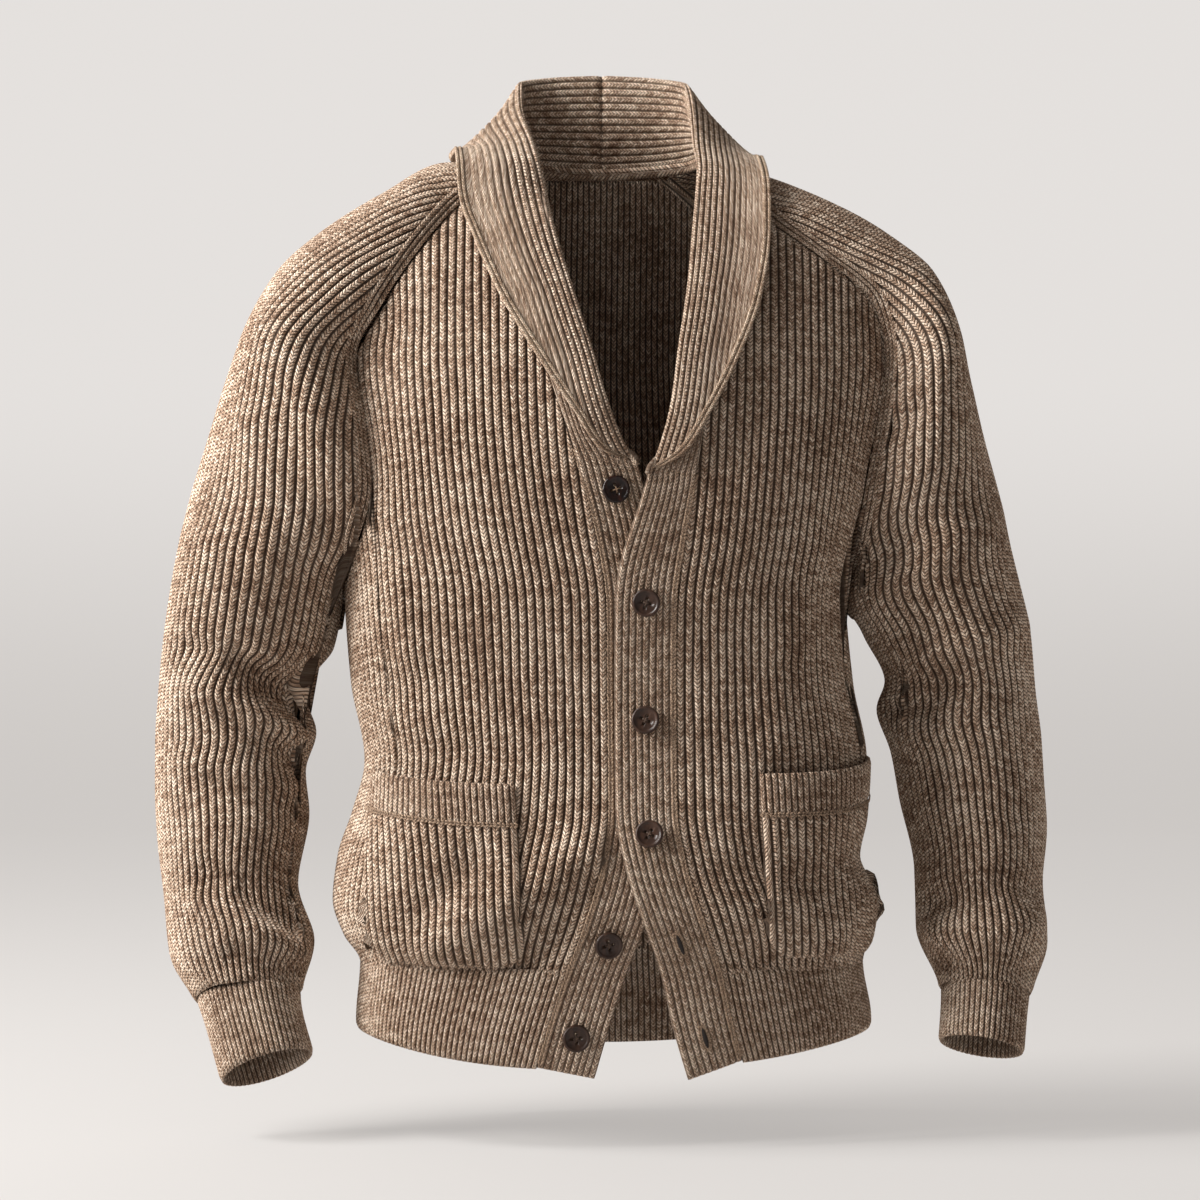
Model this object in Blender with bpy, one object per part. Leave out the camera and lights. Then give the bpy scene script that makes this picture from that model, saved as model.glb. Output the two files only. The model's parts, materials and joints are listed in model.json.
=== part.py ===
"""Shawl collar cardigan, worn and hollow: the knitted pieces as walls, and the buttons.

Metres, +Z up. The wearer faces -Y, so +X is the wearer's left. The origin is the nape: the middle of
the back neck seam, where the collar's two halves meet.
"""
import math

import bpy
import numpy as np
from mathutils import Vector
from mathutils.bvhtree import BVHTree

# Walls and ribs
WALL = 0.0032             # body, sleeve and pocket cloth, from the ribs' crests to the plain inside
COLLAR_WALL = 0.0038
BAND_WALL = 0.0042
RIB_DEPTH = 0.0012
RIB_PITCH = 0.0072        # broad rib of the body, sleeves and pockets
FINE_PITCH = 0.0050       # finer rib of the hem, cuffs, bands and welts
COLLAR_PITCH = 0.0060
SEAM_GAP = 0.0003         # each piece stops this far from its seam line
SLEEVE_GAP = 0.0010
POCKET_GAP = 0.0005
INNER_INSET = 0.0014      # a wall's inside is this much smaller at its edges
BAND_INSET = 0.0006
POCKET_INSET = 0.0004

# Levels
HEM_SEAM_Z = -0.617
WAIST_Z = -0.400          # where the ribs are counted
CORNER_Z = -0.150         # where each raglan seam turns from upright to sloping
BREAK_Z = {"right": -0.2340, "left": -0.2435}     # where each front edge folds over into the collar
SIDE_POWER = 0.80         # roundness of the body's outline: 1 is an ellipse, 0 a box

BODY_ROWS = (0.0, 0.105, 0.205, 0.400, 0.615, 0.810, 1.0)    # shares of a rib's length
ARMPIT_ROW = 4
ARMPIT_Z = HEM_SEAM_Z + (CORNER_Z - HEM_SEAM_Z) * BODY_ROWS[ARMPIT_ROW]
SLEEVE_ROWS = (0.0, 0.049, 0.139, 0.278, 0.444, 0.583, 0.694, 0.792, 0.875, 0.944, 1.0)
COLLAR_ROWS = (0.0, 0.15, 0.29, 0.39, 0.46, 0.53, 0.60, 0.66, 0.72, 0.78, 0.85, 0.92, 1.0)
COLLAR_EVEN_FROM = 0.46   # beyond this share of the collar's length its rows lie square to the ribs
COLLAR_FULL_ROW = 4       # row of the collar table at which the fall has all its ribs
ARC_POINTS = 161
FRONT_NECK_Z = -0.012
BROAD_RIBS_PER_INNER = 4  # a wall's plain inside has one face for this many ribs
SLEEVE_RIBS_PER_INNER = 3
FINE_RIBS_PER_INNER = 2

# The body's outline, level by level: height, half width on the wearer's right and left,
# y of the middle, of the front and of the back
TORSO = (
    (-0.725, 0.1840, 0.2030, -0.080, -0.198, 0.026),
    (-0.660, 0.1914, 0.2094, -0.080, -0.203, 0.030),
    (-0.616, 0.1882, 0.2030, -0.080, -0.203, 0.030),
    (-0.595, 0.2010, 0.2094, -0.080, -0.208, 0.034),
    (-0.568, 0.2095, 0.2145, -0.080, -0.212, 0.036),
    (-0.533, 0.2055, 0.1965, -0.080, -0.211, 0.034),
    (-0.500, 0.1945, 0.2035, -0.080, -0.205, 0.029),
    (-0.460, 0.1848, 0.2060, -0.080, -0.198, 0.024),
    (-0.400, 0.1955, 0.1955, -0.078, -0.193, 0.022),
    (-0.330, 0.2008, 0.1900, -0.075, -0.198, 0.033),
    (-0.250, 0.2030, 0.2160, -0.070, -0.199, 0.045),
    (-0.150, 0.2030, 0.2340, -0.063, -0.181, 0.046),
    (-0.080, 0.2000, 0.2300, -0.055, -0.150, 0.032),
    (-0.030, 0.1950, 0.2200, -0.048, -0.117, 0.012),
    (0.000, 0.1900, 0.2100, -0.045, -0.092, 0.000),
)

# Seam of each front to its band and collar: height, x on the wearer's right and left
FRONT_EDGE = (
    (-0.700, -0.0530, 0.1110),
    (-0.655, -0.0400, 0.0985),
    (-0.617, -0.0275, 0.0900),
    (-0.576, -0.0120, 0.0764),
    (-0.536, -0.0007, 0.0637),
    (-0.492, 0.0050, 0.0562),
    (-0.400, 0.0040, 0.0555),
    (-0.340, 0.0035, 0.0560),
    (-0.290, -0.0037, 0.0625),
    (-0.232, -0.0190, 0.0727),
    (-0.163, -0.0410, 0.0800),
    (-0.100, -0.0600, 0.0850),
    (-0.050, -0.0730, 0.0885),
    (-0.012, -0.0800, 0.0900),
)

# Raglan seams from armpit to neck: height, distance out from the middle plane
FRONT_RAGLAN = {
    "right": ((-0.330, 0.2008), (-0.240, 0.1745), (-0.150, 0.1885), (-0.118, 0.1733), (-0.090, 0.1565),
              (-0.053, 0.1296), (-0.028, 0.1080), (-0.012, 0.0800)),
    "left": ((-0.330, 0.1900), (-0.240, 0.2030), (-0.150, 0.2178), (-0.112, 0.2107), (-0.084, 0.1830),
             (-0.053, 0.1400), (-0.028, 0.1120), (-0.012, 0.0900)),
}
BACK_RAGLAN = {
    "right": ((-0.330, 0.2008), (-0.240, 0.1820), (-0.150, 0.1720), (-0.105, 0.1450), (-0.065, 0.1160),
              (-0.035, 0.0900), (-0.012, 0.0660), (0.000, 0.0510)),
    "left": ((-0.330, 0.1900), (-0.240, 0.1820), (-0.150, 0.1720), (-0.105, 0.1450), (-0.065, 0.1160),
             (-0.035, 0.0900), (-0.012, 0.0660), (0.000, 0.0510)),
}

# Sleeve rings from the cuff's end up to the armpit: distance out and height of the underarm line,
# distance out and height of the outer line, y of the middle, half depth, lean forward in degrees
SLEEVE_RINGS = {
    "right": (
        (0.2180, -0.684, 0.2920, -0.709, -0.140, 0.037, 23),
        (0.2302, -0.635, 0.3140, -0.645, -0.119, 0.040, 22),
        (0.2225, -0.600, 0.3340, -0.612, -0.105, 0.052, 20),
        (0.2365, -0.554, 0.3410, -0.566, -0.086, 0.053, 16),
        (0.2290, -0.503, 0.3480, -0.520, -0.070, 0.058, 12),
        (0.2325, -0.470, 0.3505, -0.485, -0.062, 0.059, 8),
        (0.2245, -0.440, 0.3508, -0.450, -0.058, 0.063, 5),
        (0.2335, -0.408, 0.3485, -0.412, -0.058, 0.064, 3),
        (0.2105, -0.374, 0.3445, -0.372, -0.062, 0.070, 1),
        (0.2008, -0.330, 0.3300, -0.290, -0.075, 0.076, 0),
    ),
    "left": (
        (0.2550, -0.675, 0.3240, -0.687, -0.140, 0.036, 20),
        (0.2590, -0.633, 0.3310, -0.640, -0.119, 0.039, 19),
        (0.2430, -0.588, 0.3445, -0.600, -0.103, 0.052, 17),
        (0.2430, -0.545, 0.3430, -0.560, -0.086, 0.053, 14),
        (0.2325, -0.490, 0.3480, -0.512, -0.069, 0.058, 11),
        (0.2265, -0.455, 0.3465, -0.478, -0.062, 0.060, 8),
        (0.2155, -0.422, 0.3450, -0.446, -0.058, 0.064, 5),
        (0.2220, -0.399, 0.3405, -0.410, -0.058, 0.064, 3),
        (0.2060, -0.366, 0.3365, -0.368, -0.062, 0.070, 1),
        (0.1900, -0.330, 0.3180, -0.290, -0.075, 0.076, 0),
    ),
}
CUFF_SEAM_RING = 1
ARMPIT_RING = 9
LEAST_OPENING = 0.0001    # half the gap between a sleeve arc's ends from which it counts as open
FULL_OPENING = 0.030      # and from which the arc faces squarely across that gap
ROUND_OPENING = 1.0005    # an arc is at least this much deeper than half its gap
SLEEVE_RIB_SHARE = 0.76   # a sleeve narrows, so it has ribs for this much of its width at the armpit

# Sleeve arcs over the shoulder: height on the front seam and on the back seam, distance out,
# y and height of the shoulder line, least half depth
SHOULDER_ARCS = {
    "right": (
        (-0.290, -0.290, 0.3215, -0.068, -0.252, 0.080),
        (-0.250, -0.250, 0.3100, -0.062, -0.212, 0.093),
        (-0.200, -0.200, 0.2955, -0.057, -0.166, 0.100),
        (-0.150, -0.150, 0.2780, -0.053, -0.124, 0.098),
        (-0.110, -0.110, 0.2520, -0.051, -0.077, 0.088),
        (-0.075, -0.068, 0.2180, -0.050, -0.046, 0.080),
        (-0.044, -0.036, 0.1680, -0.050, -0.015, 0.070),
        (-0.024, -0.012, 0.1200, -0.049, 0.009, 0.056),
        (-0.012, 0.000, 0.0830, -0.047, 0.009, 0.044),
    ),
    "left": (
        (-0.290, -0.290, 0.3090, -0.068, -0.252, 0.080),
        (-0.250, -0.250, 0.2970, -0.062, -0.212, 0.093),
        (-0.200, -0.200, 0.2820, -0.057, -0.166, 0.100),
        (-0.150, -0.150, 0.2655, -0.052, -0.124, 0.104),
        (-0.107, -0.110, 0.2420, -0.050, -0.077, 0.094),
        (-0.072, -0.068, 0.2150, -0.050, -0.046, 0.080),
        (-0.044, -0.036, 0.1720, -0.050, -0.021, 0.070),
        (-0.024, -0.012, 0.1260, -0.049, -0.002, 0.056),
        (-0.012, 0.000, 0.0900, -0.047, 0.007, 0.044),
    ),
}

# Shawl collar from the break to the neck: height on the seam, x and height of the fold line, x and
# height of the free edge, and how far the free edge's face stands off the front below it
COLLAR = {
    "right": (
        (-0.2335, 0.0270, -0.2340, 0.0255, -0.2330, 0.0000),
        (-0.2160, 0.0175, -0.2190, 0.0000, -0.2230, 0.0095),
        (-0.1850, 0.0054, -0.1890, -0.0200, -0.1950, 0.0115),
        (-0.1450, -0.0080, -0.1430, -0.0440, -0.1590, 0.0120),
        (-0.1000, -0.0220, -0.0980, -0.0765, -0.1050, 0.0130),
        (-0.0500, -0.0360, -0.0500, -0.0985, -0.0560, 0.0140),
        (-0.0140, -0.0440, -0.0130, -0.1110, -0.0180, 0.0160),
    ),
    "left": (
        (-0.2416, 0.0345, -0.2420, 0.0360, -0.2408, 0.0000),
        (-0.2180, 0.0435, -0.2180, 0.0620, -0.2250, 0.0095),
        (-0.1880, 0.0510, -0.1900, 0.0800, -0.1970, 0.0115),
        (-0.1450, 0.0575, -0.1430, 0.1020, -0.1550, 0.0120),
        (-0.1000, 0.0645, -0.0970, 0.1210, -0.1040, 0.0130),
        (-0.0500, 0.0690, -0.0510, 0.1290, -0.0560, 0.0140),
        (-0.0140, 0.0725, -0.0150, 0.1300, -0.0190, 0.0160),
    ),
}
# The collar round the neck to the centre back: seam point, fold line and free edge, each x, y, z
COLLAR_NECK = {
    "right": (
        ((-0.0805, -0.0820, -0.0020), (-0.0470, -0.1080, 0.0010), (-0.1130, -0.1060, 0.0060)),
        ((-0.0795, -0.0640, 0.0065), (-0.0520, -0.0880, 0.0190), (-0.1160, -0.0640, 0.0190)),
        ((-0.0750, -0.0340, 0.0125), (-0.0640, -0.0480, 0.0560), (-0.1220, -0.0180, 0.0160)),
        ((-0.0640, -0.0110, 0.0075), (-0.0650, -0.0190, 0.0760), (-0.1040, 0.0120, 0.0010)),
        ((-0.0370, -0.0036, 0.0030), (-0.0370, -0.0010, 0.0830), (-0.0500, 0.0200, -0.0090)),
        ((-0.0006, -0.0030, 0.0015), (-0.0006, 0.0040, 0.0850), (-0.0006, 0.0220, -0.0100)),
    ),
    "left": (
        ((0.0900, -0.0840, -0.0020), (0.0735, -0.1040, 0.0000), (0.1290, -0.1060, -0.0060)),
        ((0.0885, -0.0640, 0.0065), (0.0715, -0.0850, 0.0180), (0.1260, -0.0640, 0.0120)),
        ((0.0820, -0.0340, 0.0125), (0.0700, -0.0460, 0.0540), (0.1240, -0.0180, 0.0140)),
        ((0.0670, -0.0110, 0.0075), (0.0665, -0.0180, 0.0750), (0.1040, 0.0120, 0.0000)),
        ((0.0370, -0.0036, 0.0030), (0.0375, -0.0010, 0.0825), (0.0500, 0.0200, -0.0090)),
        ((0.0006, -0.0030, 0.0015), (0.0006, 0.0040, 0.0850), (0.0006, 0.0220, -0.0100)),
    ),
}
LAY_REACH = 0.020         # how deep the collar's fall may start inside what it is laid on
LAY_GAP = 0.0006
LAY_STEPS = 4             # checks along each straight run between two rows
COLLAR_SEAM_SHIFT = (0.0008, 0.0030)      # the collar's seam edge inwards and back from the front's
BREAK_ROWS = 2            # rows over which the collar rises from the band's level
BREAK_SINK = {"right": 0.0045, "left": -0.0010}
FOLD_PULL = 0.024         # how round the collar's fold is
MOST_PULL = 0.8           # but no more than this share of the way to the seam or the edge
END_PULL = 0.9            # how straight the strip runs out at the seam and the edge
STRIP_POINTS = 41
FOLD_LIFT = 0.0065        # ribbed face at the fold line over the front below it

# Bands: width, and how far the overlap pushes the free edges out and in
BAND_WIDTH = 0.046
TOP_BAND_LIFT = 0.0042
UNDER_BAND_SINK = 0.0052
UNDER_BAND_DROP = 0.0006  # the under band's seam edge below the front beside it
BREAK_GAP = 0.0012        # a band stops this far below the break
LEAST_BAND_ROW = 0.003
BESIDE = 0.002            # a step along the surface, to find its direction

# Hem: height of the lower edge at the centre back, the sides and the front corners
HEM_BACK_Z = -0.693
HEM_SIDE_Z = -0.666
HEM_FRONT_Z = -0.688
HEM_CURVE = 2.0
BAND_END_Z = -0.6955      # at a band's free edge, from where its end slopes up to the hem

# Patch pockets: x of the edge near the bands at the top and bottom, width round the body,
# heights of the mouth at its inner and outer ends, welt seam, bottom; and their corner radius
POCKETS = {
    "right": (-0.0640, -0.0560, 0.132, -0.4745, -0.4640, 0.031, -0.6120),
    "left": (0.1160, 0.1250, 0.120, -0.4670, -0.4560, 0.031, -0.6050),
}
POCKET_CORNER = 0.020
POCKET_STAND = 0.0120     # how far the mouth hangs open at its middle
POCKET_ROUND = 0.8        # below 1 the pocket stands off more evenly across
POCKET_TAPER = 1.4        # above 1 it lies closer to the front lower down
POCKET_LIFT = 0.0011      # a pocket's inside over the front's ribs
POCKET_KINKS = (0.016, 0.008)     # least distances of a pocket's two middle rows below its welt

# Buttons: name, band, height; and where the band is open
BUTTON_RADIUS = 0.0105
BUTTON_THICK = 0.0034
BUTTONS = (
    ("button_1", "right", -0.2530),
    ("button_2", "left", -0.3380),
    ("button_3", "left", -0.4260),
    ("button_4", "left", -0.5110),
    ("button_5", "right", -0.5935),
    ("button_6", "right", -0.6640),
)
BUTTON_SEAT = 0.0003      # a button's back over the highest rib under it
BUTTON_SIDES = 14
BUTTON_PROFILE = ((0.0, 0.0), (0.80, 0.0), (1.0, 0.45), (0.90, 1.0), (0.72, 0.72), (0.0, 0.66))
BUTTONHOLES_Z = (-0.5935, -0.6640)
BUTTONHOLE_LENGTH = 0.019

COLOURS = {
    "body_knit": (0.230, 0.155, 0.105),
    "trim_knit": (0.245, 0.167, 0.113),
    "button_horn": (0.030, 0.017, 0.012),
}


def curve(xs, ys):
    """A smooth function through a table's points that never overshoots them."""
    xs, ys = np.array(xs, float), np.array(ys, float)
    step = np.diff(xs)
    slope = np.diff(ys) / step
    tangent = np.zeros_like(ys)
    w1, w2 = 2 * step[1:] + step[:-1], step[1:] + 2 * step[:-1]
    for i in range(len(slope) - 1):
        if slope[i] * slope[i + 1] > 0:
            tangent[i + 1] = (w1[i] + w2[i]) / (w1[i] / slope[i] + w2[i] / slope[i + 1])
    tangent[0], tangent[-1] = slope[0], slope[-1]

    def at(x):
        x = np.clip(x, xs[0], xs[-1])
        i = np.clip(np.searchsorted(xs, x) - 1, 0, len(step) - 1)
        u = (x - xs[i]) / step[i]
        return (ys[i] * (1 + 2 * u) * (1 - u) ** 2 + tangent[i] * step[i] * u * (1 - u) ** 2
                + ys[i + 1] * u * u * (3 - 2 * u) + tangent[i + 1] * step[i] * u * u * (u - 1))
    return at


def columns(table):
    """One smooth function of a table's first column for each of its other columns."""
    rows = np.array(table, float)
    return [curve(rows[:, 0], rows[:, k]) for k in range(1, rows.shape[1])]


torso_right, torso_left, torso_middle, torso_front, torso_back = columns(TORSO)
edge_right, edge_left = columns(FRONT_EDGE)
front_edge = {"right": edge_right, "left": edge_left}
front_raglan = {side: columns(FRONT_RAGLAN[side])[0] for side in FRONT_RAGLAN}
back_raglan = {side: columns(BACK_RAGLAN[side])[0] for side in BACK_RAGLAN}
SIGN = {"right": -1.0, "left": 1.0}


def unit(vectors):
    return vectors / np.maximum(np.linalg.norm(vectors, axis=-1, keepdims=True), 1e-12)


def torso_arc(face, z):
    """The body's outline at one level, from the wearer's right side to the left, and its lengths."""
    angle = np.linspace(-math.pi / 2, math.pi / 2, ARC_POINTS)
    half = np.where(angle < 0, torso_right(z), torso_left(z))
    depth = (torso_front(z) if face == "front" else torso_back(z)) - torso_middle(z)
    x = half * np.sign(angle) * np.abs(np.sin(angle)) ** SIDE_POWER
    y = torso_middle(z) + depth * np.maximum(np.cos(angle), 0) ** SIDE_POWER
    points = np.stack([x, y, np.full_like(x, z)], axis=1)
    lengths = np.concatenate([[0], np.cumsum(np.linalg.norm(np.diff(points, axis=0), axis=1))])
    return points, lengths


def torso_at_length(arc, length):
    points, lengths = arc
    return np.array([np.interp(length, lengths, points[:, k]) for k in range(3)])


def torso_length_at_x(arc, x):
    points, lengths = arc
    return float(np.interp(x, points[:, 0], lengths))


def torso_at_x(face, x, z):
    arc = torso_arc(face, z)
    return torso_at_length(arc, torso_length_at_x(arc, x))


def side_x(face, side, z):
    """Where a body panel ends sideways: the side seam, then the upright part of the raglan seam."""
    half = torso_right(z) if side == "right" else torso_left(z)
    if z <= ARMPIT_Z:
        return SIGN[side] * half
    raglan = front_raglan[side] if face == "front" else back_raglan[side]
    return SIGN[side] * float(raglan(min(z, CORNER_Z)))


def front_point(side, across, z):
    """A front's surface: across is 0 at the band's seam and 1 at the side."""
    arc = torso_arc("front", z)
    start = torso_length_at_x(arc, float(front_edge[side](z)))
    end = torso_length_at_x(arc, side_x("front", side, z))
    return torso_at_length(arc, start + (end - start) * across)


def back_point(across, z):
    """The back's surface: across is 0 at the wearer's right side and 1 at the left."""
    arc = torso_arc("back", z)
    start = torso_length_at_x(arc, side_x("back", "right", z))
    end = torso_length_at_x(arc, side_x("back", "left", z))
    return torso_at_length(arc, start + (end - start) * across)


def front_top(side):
    """Height at which a front's rib ends at the sloping raglan seam, by place across."""
    levels = np.linspace(CORNER_Z, FRONT_NECK_Z, 60)
    across = []
    for z in levels:
        arc = torso_arc("front", z)
        start = torso_length_at_x(arc, float(front_edge[side](z)))
        end = torso_length_at_x(arc, side_x("front", side, z))
        seam = torso_length_at_x(arc, SIGN[side] * float(front_raglan[side](z)))
        across.append((seam - start) / (end - start))
    across = np.minimum.accumulate(np.array(across))
    return lambda p: float(np.interp(p, across[::-1], levels[::-1]))


def back_top():
    """Height at which a back rib ends at a raglan seam or at the neck, by place across."""
    levels = np.linspace(CORNER_Z, 0.0, 60)
    found = {"right": [], "left": []}
    for z in levels:
        arc = torso_arc("back", z)
        start = torso_length_at_x(arc, side_x("back", "right", z))
        end = torso_length_at_x(arc, side_x("back", "left", z))
        for side in found:
            seam = torso_length_at_x(arc, SIGN[side] * float(back_raglan[side](z)))
            found[side].append((seam - start) / (end - start))
    across = np.array(found["right"] + found["left"][::-1])
    heights = np.concatenate([levels, levels[::-1]])
    return lambda p: float(np.interp(p, np.maximum.accumulate(across), heights))


def row_levels(top):
    """Heights of a rib's rows from the hem seam to the rib's top."""
    return HEM_SEAM_Z + (top - HEM_SEAM_Z) * np.array(BODY_ROWS)


def along_rows(place, levels, z):
    """A point on the straight run between the two nearest rows, as the wall's own faces have it."""
    i = int(np.clip(np.searchsorted(levels, z) - 1, 0, len(levels) - 2))
    u = (z - levels[i]) / (levels[i + 1] - levels[i])
    return place(levels[i]) * (1 - u) + place(levels[i + 1]) * u


def raglan_point(face, side, z):
    """A raglan seam. Up to its corner it is as straight, row by row, as the body panel's edge."""
    raglan = front_raglan[side] if face == "front" else back_raglan[side]

    def place(level):
        return torso_at_x(face, SIGN[side] * float(raglan(level)), level)

    if z >= CORNER_Z:
        return place(z)
    return along_rows(place, row_levels(CORNER_Z)[ARMPIT_ROW:], z)


class Sleeve:
    """One sleeve: rings round the arm, then arcs from the front raglan seam over to the back one."""

    def __init__(self, side):
        sign = SIGN[side]
        rows = []
        for out_in, z_in, out, z_out, y, half_depth, lean in SLEEVE_RINGS[side]:
            under = (sign * out_in, y, z_in)
            rows.append([*under, *under, sign * out, y, z_out, half_depth, math.radians(lean)])
        for z_front, z_back, out, y, z_top, half_depth in SHOULDER_ARCS[side]:
            start = raglan_point("front", side, z_front)
            end = raglan_point("back", side, z_back)
            rows.append([*start, *end, sign * out, y, z_top, half_depth, 0.0])
        rows = np.array(rows)
        steps = np.linalg.norm(np.diff(rows[:, 6:9], axis=0), axis=1)
        self.knots = np.concatenate([[0], np.cumsum(steps)])
        self.knots -= self.knots[CUFF_SEAM_RING]
        self.row = [curve(self.knots, rows[:, k]) for k in range(rows.shape[1])]
        self.armpit = self.knots[ARMPIT_RING]
        self.end = self.knots[-1]
        self.full = self.halves(self.armpit)
        levels = np.linspace(self.armpit, self.end, 120)
        self.levels = levels
        self.reach = {k: np.minimum.accumulate([self.halves(t)[k] for t in levels]) for k in (0, 1)}

    def section(self, t):
        """The arc at t, as points from the shoulder line out to each end, front and back."""
        value = [f(t) for f in self.row]
        front, back, top = np.array(value[0:3]), np.array(value[3:6]), np.array(value[6:9])
        half_gap = np.linalg.norm(front - back) / 2
        lean = value[10]
        ahead = np.array([0.0, -math.cos(lean), math.sin(lean)])
        if half_gap > LEAST_OPENING:
            share = min(1.0, half_gap / FULL_OPENING)
            ahead = unit(ahead * (1 - share) + unit(front - back) * share)
        depth = max(value[9], half_gap * ROUND_OPENING)
        end_angle = math.pi - math.asin(min(1.0, half_gap / depth))
        middle = (front + back) / 2
        out = (top - middle) / (1 - math.cos(end_angle))
        centre = top - out
        halves = []
        for way, target in ((1, front), (-1, back)):
            angle = np.linspace(0, end_angle, ARC_POINTS)
            points = (centre + np.outer(np.cos(angle), out)
                      + way * np.outer(np.sin(angle), ahead) * depth)
            points += np.outer(angle / end_angle, target - points[-1])
            lengths = np.concatenate([[0], np.cumsum(np.linalg.norm(np.diff(points, axis=0), axis=1))])
            halves.append((points, lengths))
        return halves

    def halves(self, t):
        return [lengths[-1] for points, lengths in self.section(t)]

    def ends(self, way, share):
        """How far up the sleeve a rib runs before it meets the seam or the neck."""
        reach = self.reach[way]
        return float(np.interp(-share * self.full[way], -reach, self.levels))

    def point(self, way, share, t):
        """A point at a share of the half way round, from the shoulder line to the underarm."""
        points, lengths = self.section(t)[way]
        scale = lengths[-1] if t <= self.armpit else self.full[way]
        length = min(share * scale, lengths[-1])
        return np.array([np.interp(length, lengths, points[:, k]) for k in range(3)])


def band_levels(side):
    """The band's rows above its end: the rows of the front beside it, up to the break."""
    rows = row_levels(FRONT_NECK_Z)
    break_z = BREAK_Z[side] - BREAK_GAP
    return [*rows[rows < break_z - LEAST_BAND_ROW], break_z]


def band_end(side, across):
    """Height of a band's sloping end, from the hem's edge at its seam to its free edge."""
    at_seam = hem_edge("front", float(front_edge[side](HEM_FRONT_Z)), side)
    return at_seam + (BAND_END_Z - at_seam) * across


def band_face(side, across, z):
    arc = torso_arc("front", z)
    way = 1.0 if side == "right" else -1.0
    length = torso_length_at_x(arc, float(front_edge[side](z))) + way * across * BAND_WIDTH
    point = torso_at_length(arc, length)
    along = unit(torso_at_length(arc, length + BESIDE) - point)
    outward = np.array([along[1], -along[0], 0.0])
    lift = TOP_BAND_LIFT * across if side == "left" else -UNDER_BAND_DROP - UNDER_BAND_SINK * across
    return point + outward * lift


def band_point(side, across, z):
    """A band's face: across is 0 at its seam and 1 at its free edge. The left band lies on top."""
    rows = [BAND_END_Z, *row_levels(FRONT_NECK_Z)]
    return along_rows(lambda level: band_face(side, across, level), rows, z)


def hermite(start, end, start_pull, end_pull, count):
    u = np.linspace(0, 1, count)[:, None]
    return (start * (1 + 2 * u) * (1 - u) ** 2 + start_pull * u * (1 - u) ** 2
            + end * u * u * (3 - 2 * u) + end_pull * u * u * (u - 1))


class Collar:
    """Half of the shawl collar: a strip from the seam up to its fold and over to its free edge."""

    def __init__(self, side):
        rows = []
        way = 1.0 if side == "right" else -1.0
        for number, (seam_z, fold_x, fold_z, edge_x, edge_z, lift) in enumerate(COLLAR[side]):
            seam = torso_at_x("front", float(front_edge[side](seam_z)), seam_z)
            seam = seam + np.array([way * COLLAR_SEAM_SHIFT[0], COLLAR_SEAM_SHIFT[1], 0.0])
            fold = torso_at_x("front", fold_x, fold_z)
            edge = torso_at_x("front", edge_x, edge_z)
            rise = min(1.0, number / BREAK_ROWS)
            sink = BREAK_SINK[side]
            fold = fold + np.array([0, sink * (1 - rise) - FOLD_LIFT * rise, 0])
            edge = edge + np.array([0, sink * (1 - rise) - lift, 0])
            rows.append([*seam, *fold, *edge])
        for seam, fold, edge in COLLAR_NECK[side]:
            rows.append([*seam, *fold, *edge])
        rows = np.array(rows)
        steps = np.linalg.norm(np.diff(rows[:, 3:6], axis=0), axis=1)
        self.knots = np.concatenate([[0], np.cumsum(steps)])
        self.end = self.knots[-1]
        self.values = [curve(self.knots, rows[:, k]) for k in range(9)]
        self.full = self.knots[COLLAR_FULL_ROW]
        self.levels = np.linspace(0, self.full, 60)
        self.fall = np.maximum.accumulate([self.section(t)[1][1][-1] for t in self.levels])
        self.width = self.fall[-1]
        self.stand = self.section(self.end)[0][1][-1]

    def section(self, t):
        """The strip's cut at t as two runs of points from the fold: to the seam and to the edge."""
        value = np.array([float(f(t)) for f in self.values])
        seam, fold, edge = value[0:3], value[3:6], value[6:9]
        over = unit(unit(edge - fold) - unit(seam - fold))
        runs = []
        for target, way in ((seam, -1.0), (edge, 1.0)):
            reach = np.linalg.norm(target - fold)
            pull = min(FOLD_PULL, MOST_PULL * reach)
            points = hermite(fold, target, over * way * pull, (target - fold) * END_PULL, STRIP_POINTS)
            lengths = np.concatenate([[0], np.cumsum(np.linalg.norm(np.diff(points, axis=0), axis=1))])
            runs.append((points, lengths))
        return runs

    def row(self, across, along):
        """How far along the collar a row crosses a rib. Ribs of the fall start at the free edge."""
        start = float(np.interp(across * self.width, self.fall, self.levels)) if across > 0 else 0.0
        even = COLLAR_EVEN_FROM * self.end
        if along <= COLLAR_EVEN_FROM:
            return start + (even - start) * along / COLLAR_EVEN_FROM
        return even + (self.end - even) * (along - COLLAR_EVEN_FROM) / (1 - COLLAR_EVEN_FROM)

    def point(self, across, t):
        """-1 is the seam, 0 the fold and 1 the free edge at the back of the neck."""
        stand, fall = self.section(t)
        points, lengths = stand if across < 0 else fall
        if across < 0 or t >= self.full:
            length = abs(across) * lengths[-1]
        else:
            length = min(across * self.width, lengths[-1])
        return np.array([np.interp(length, lengths, points[:, k]) for k in range(3)])


def surface_normals(grid, closed, flip):
    """Outward directions of a grid of points, by differences along and across it."""
    along = np.gradient(grid, axis=0)
    if closed:
        across = (np.roll(grid, -1, axis=1) - np.roll(grid, 1, axis=1)) / 2
    else:
        across = np.gradient(grid, axis=1)
    normals = unit(np.cross(across, along))
    return -normals if flip else normals


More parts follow.
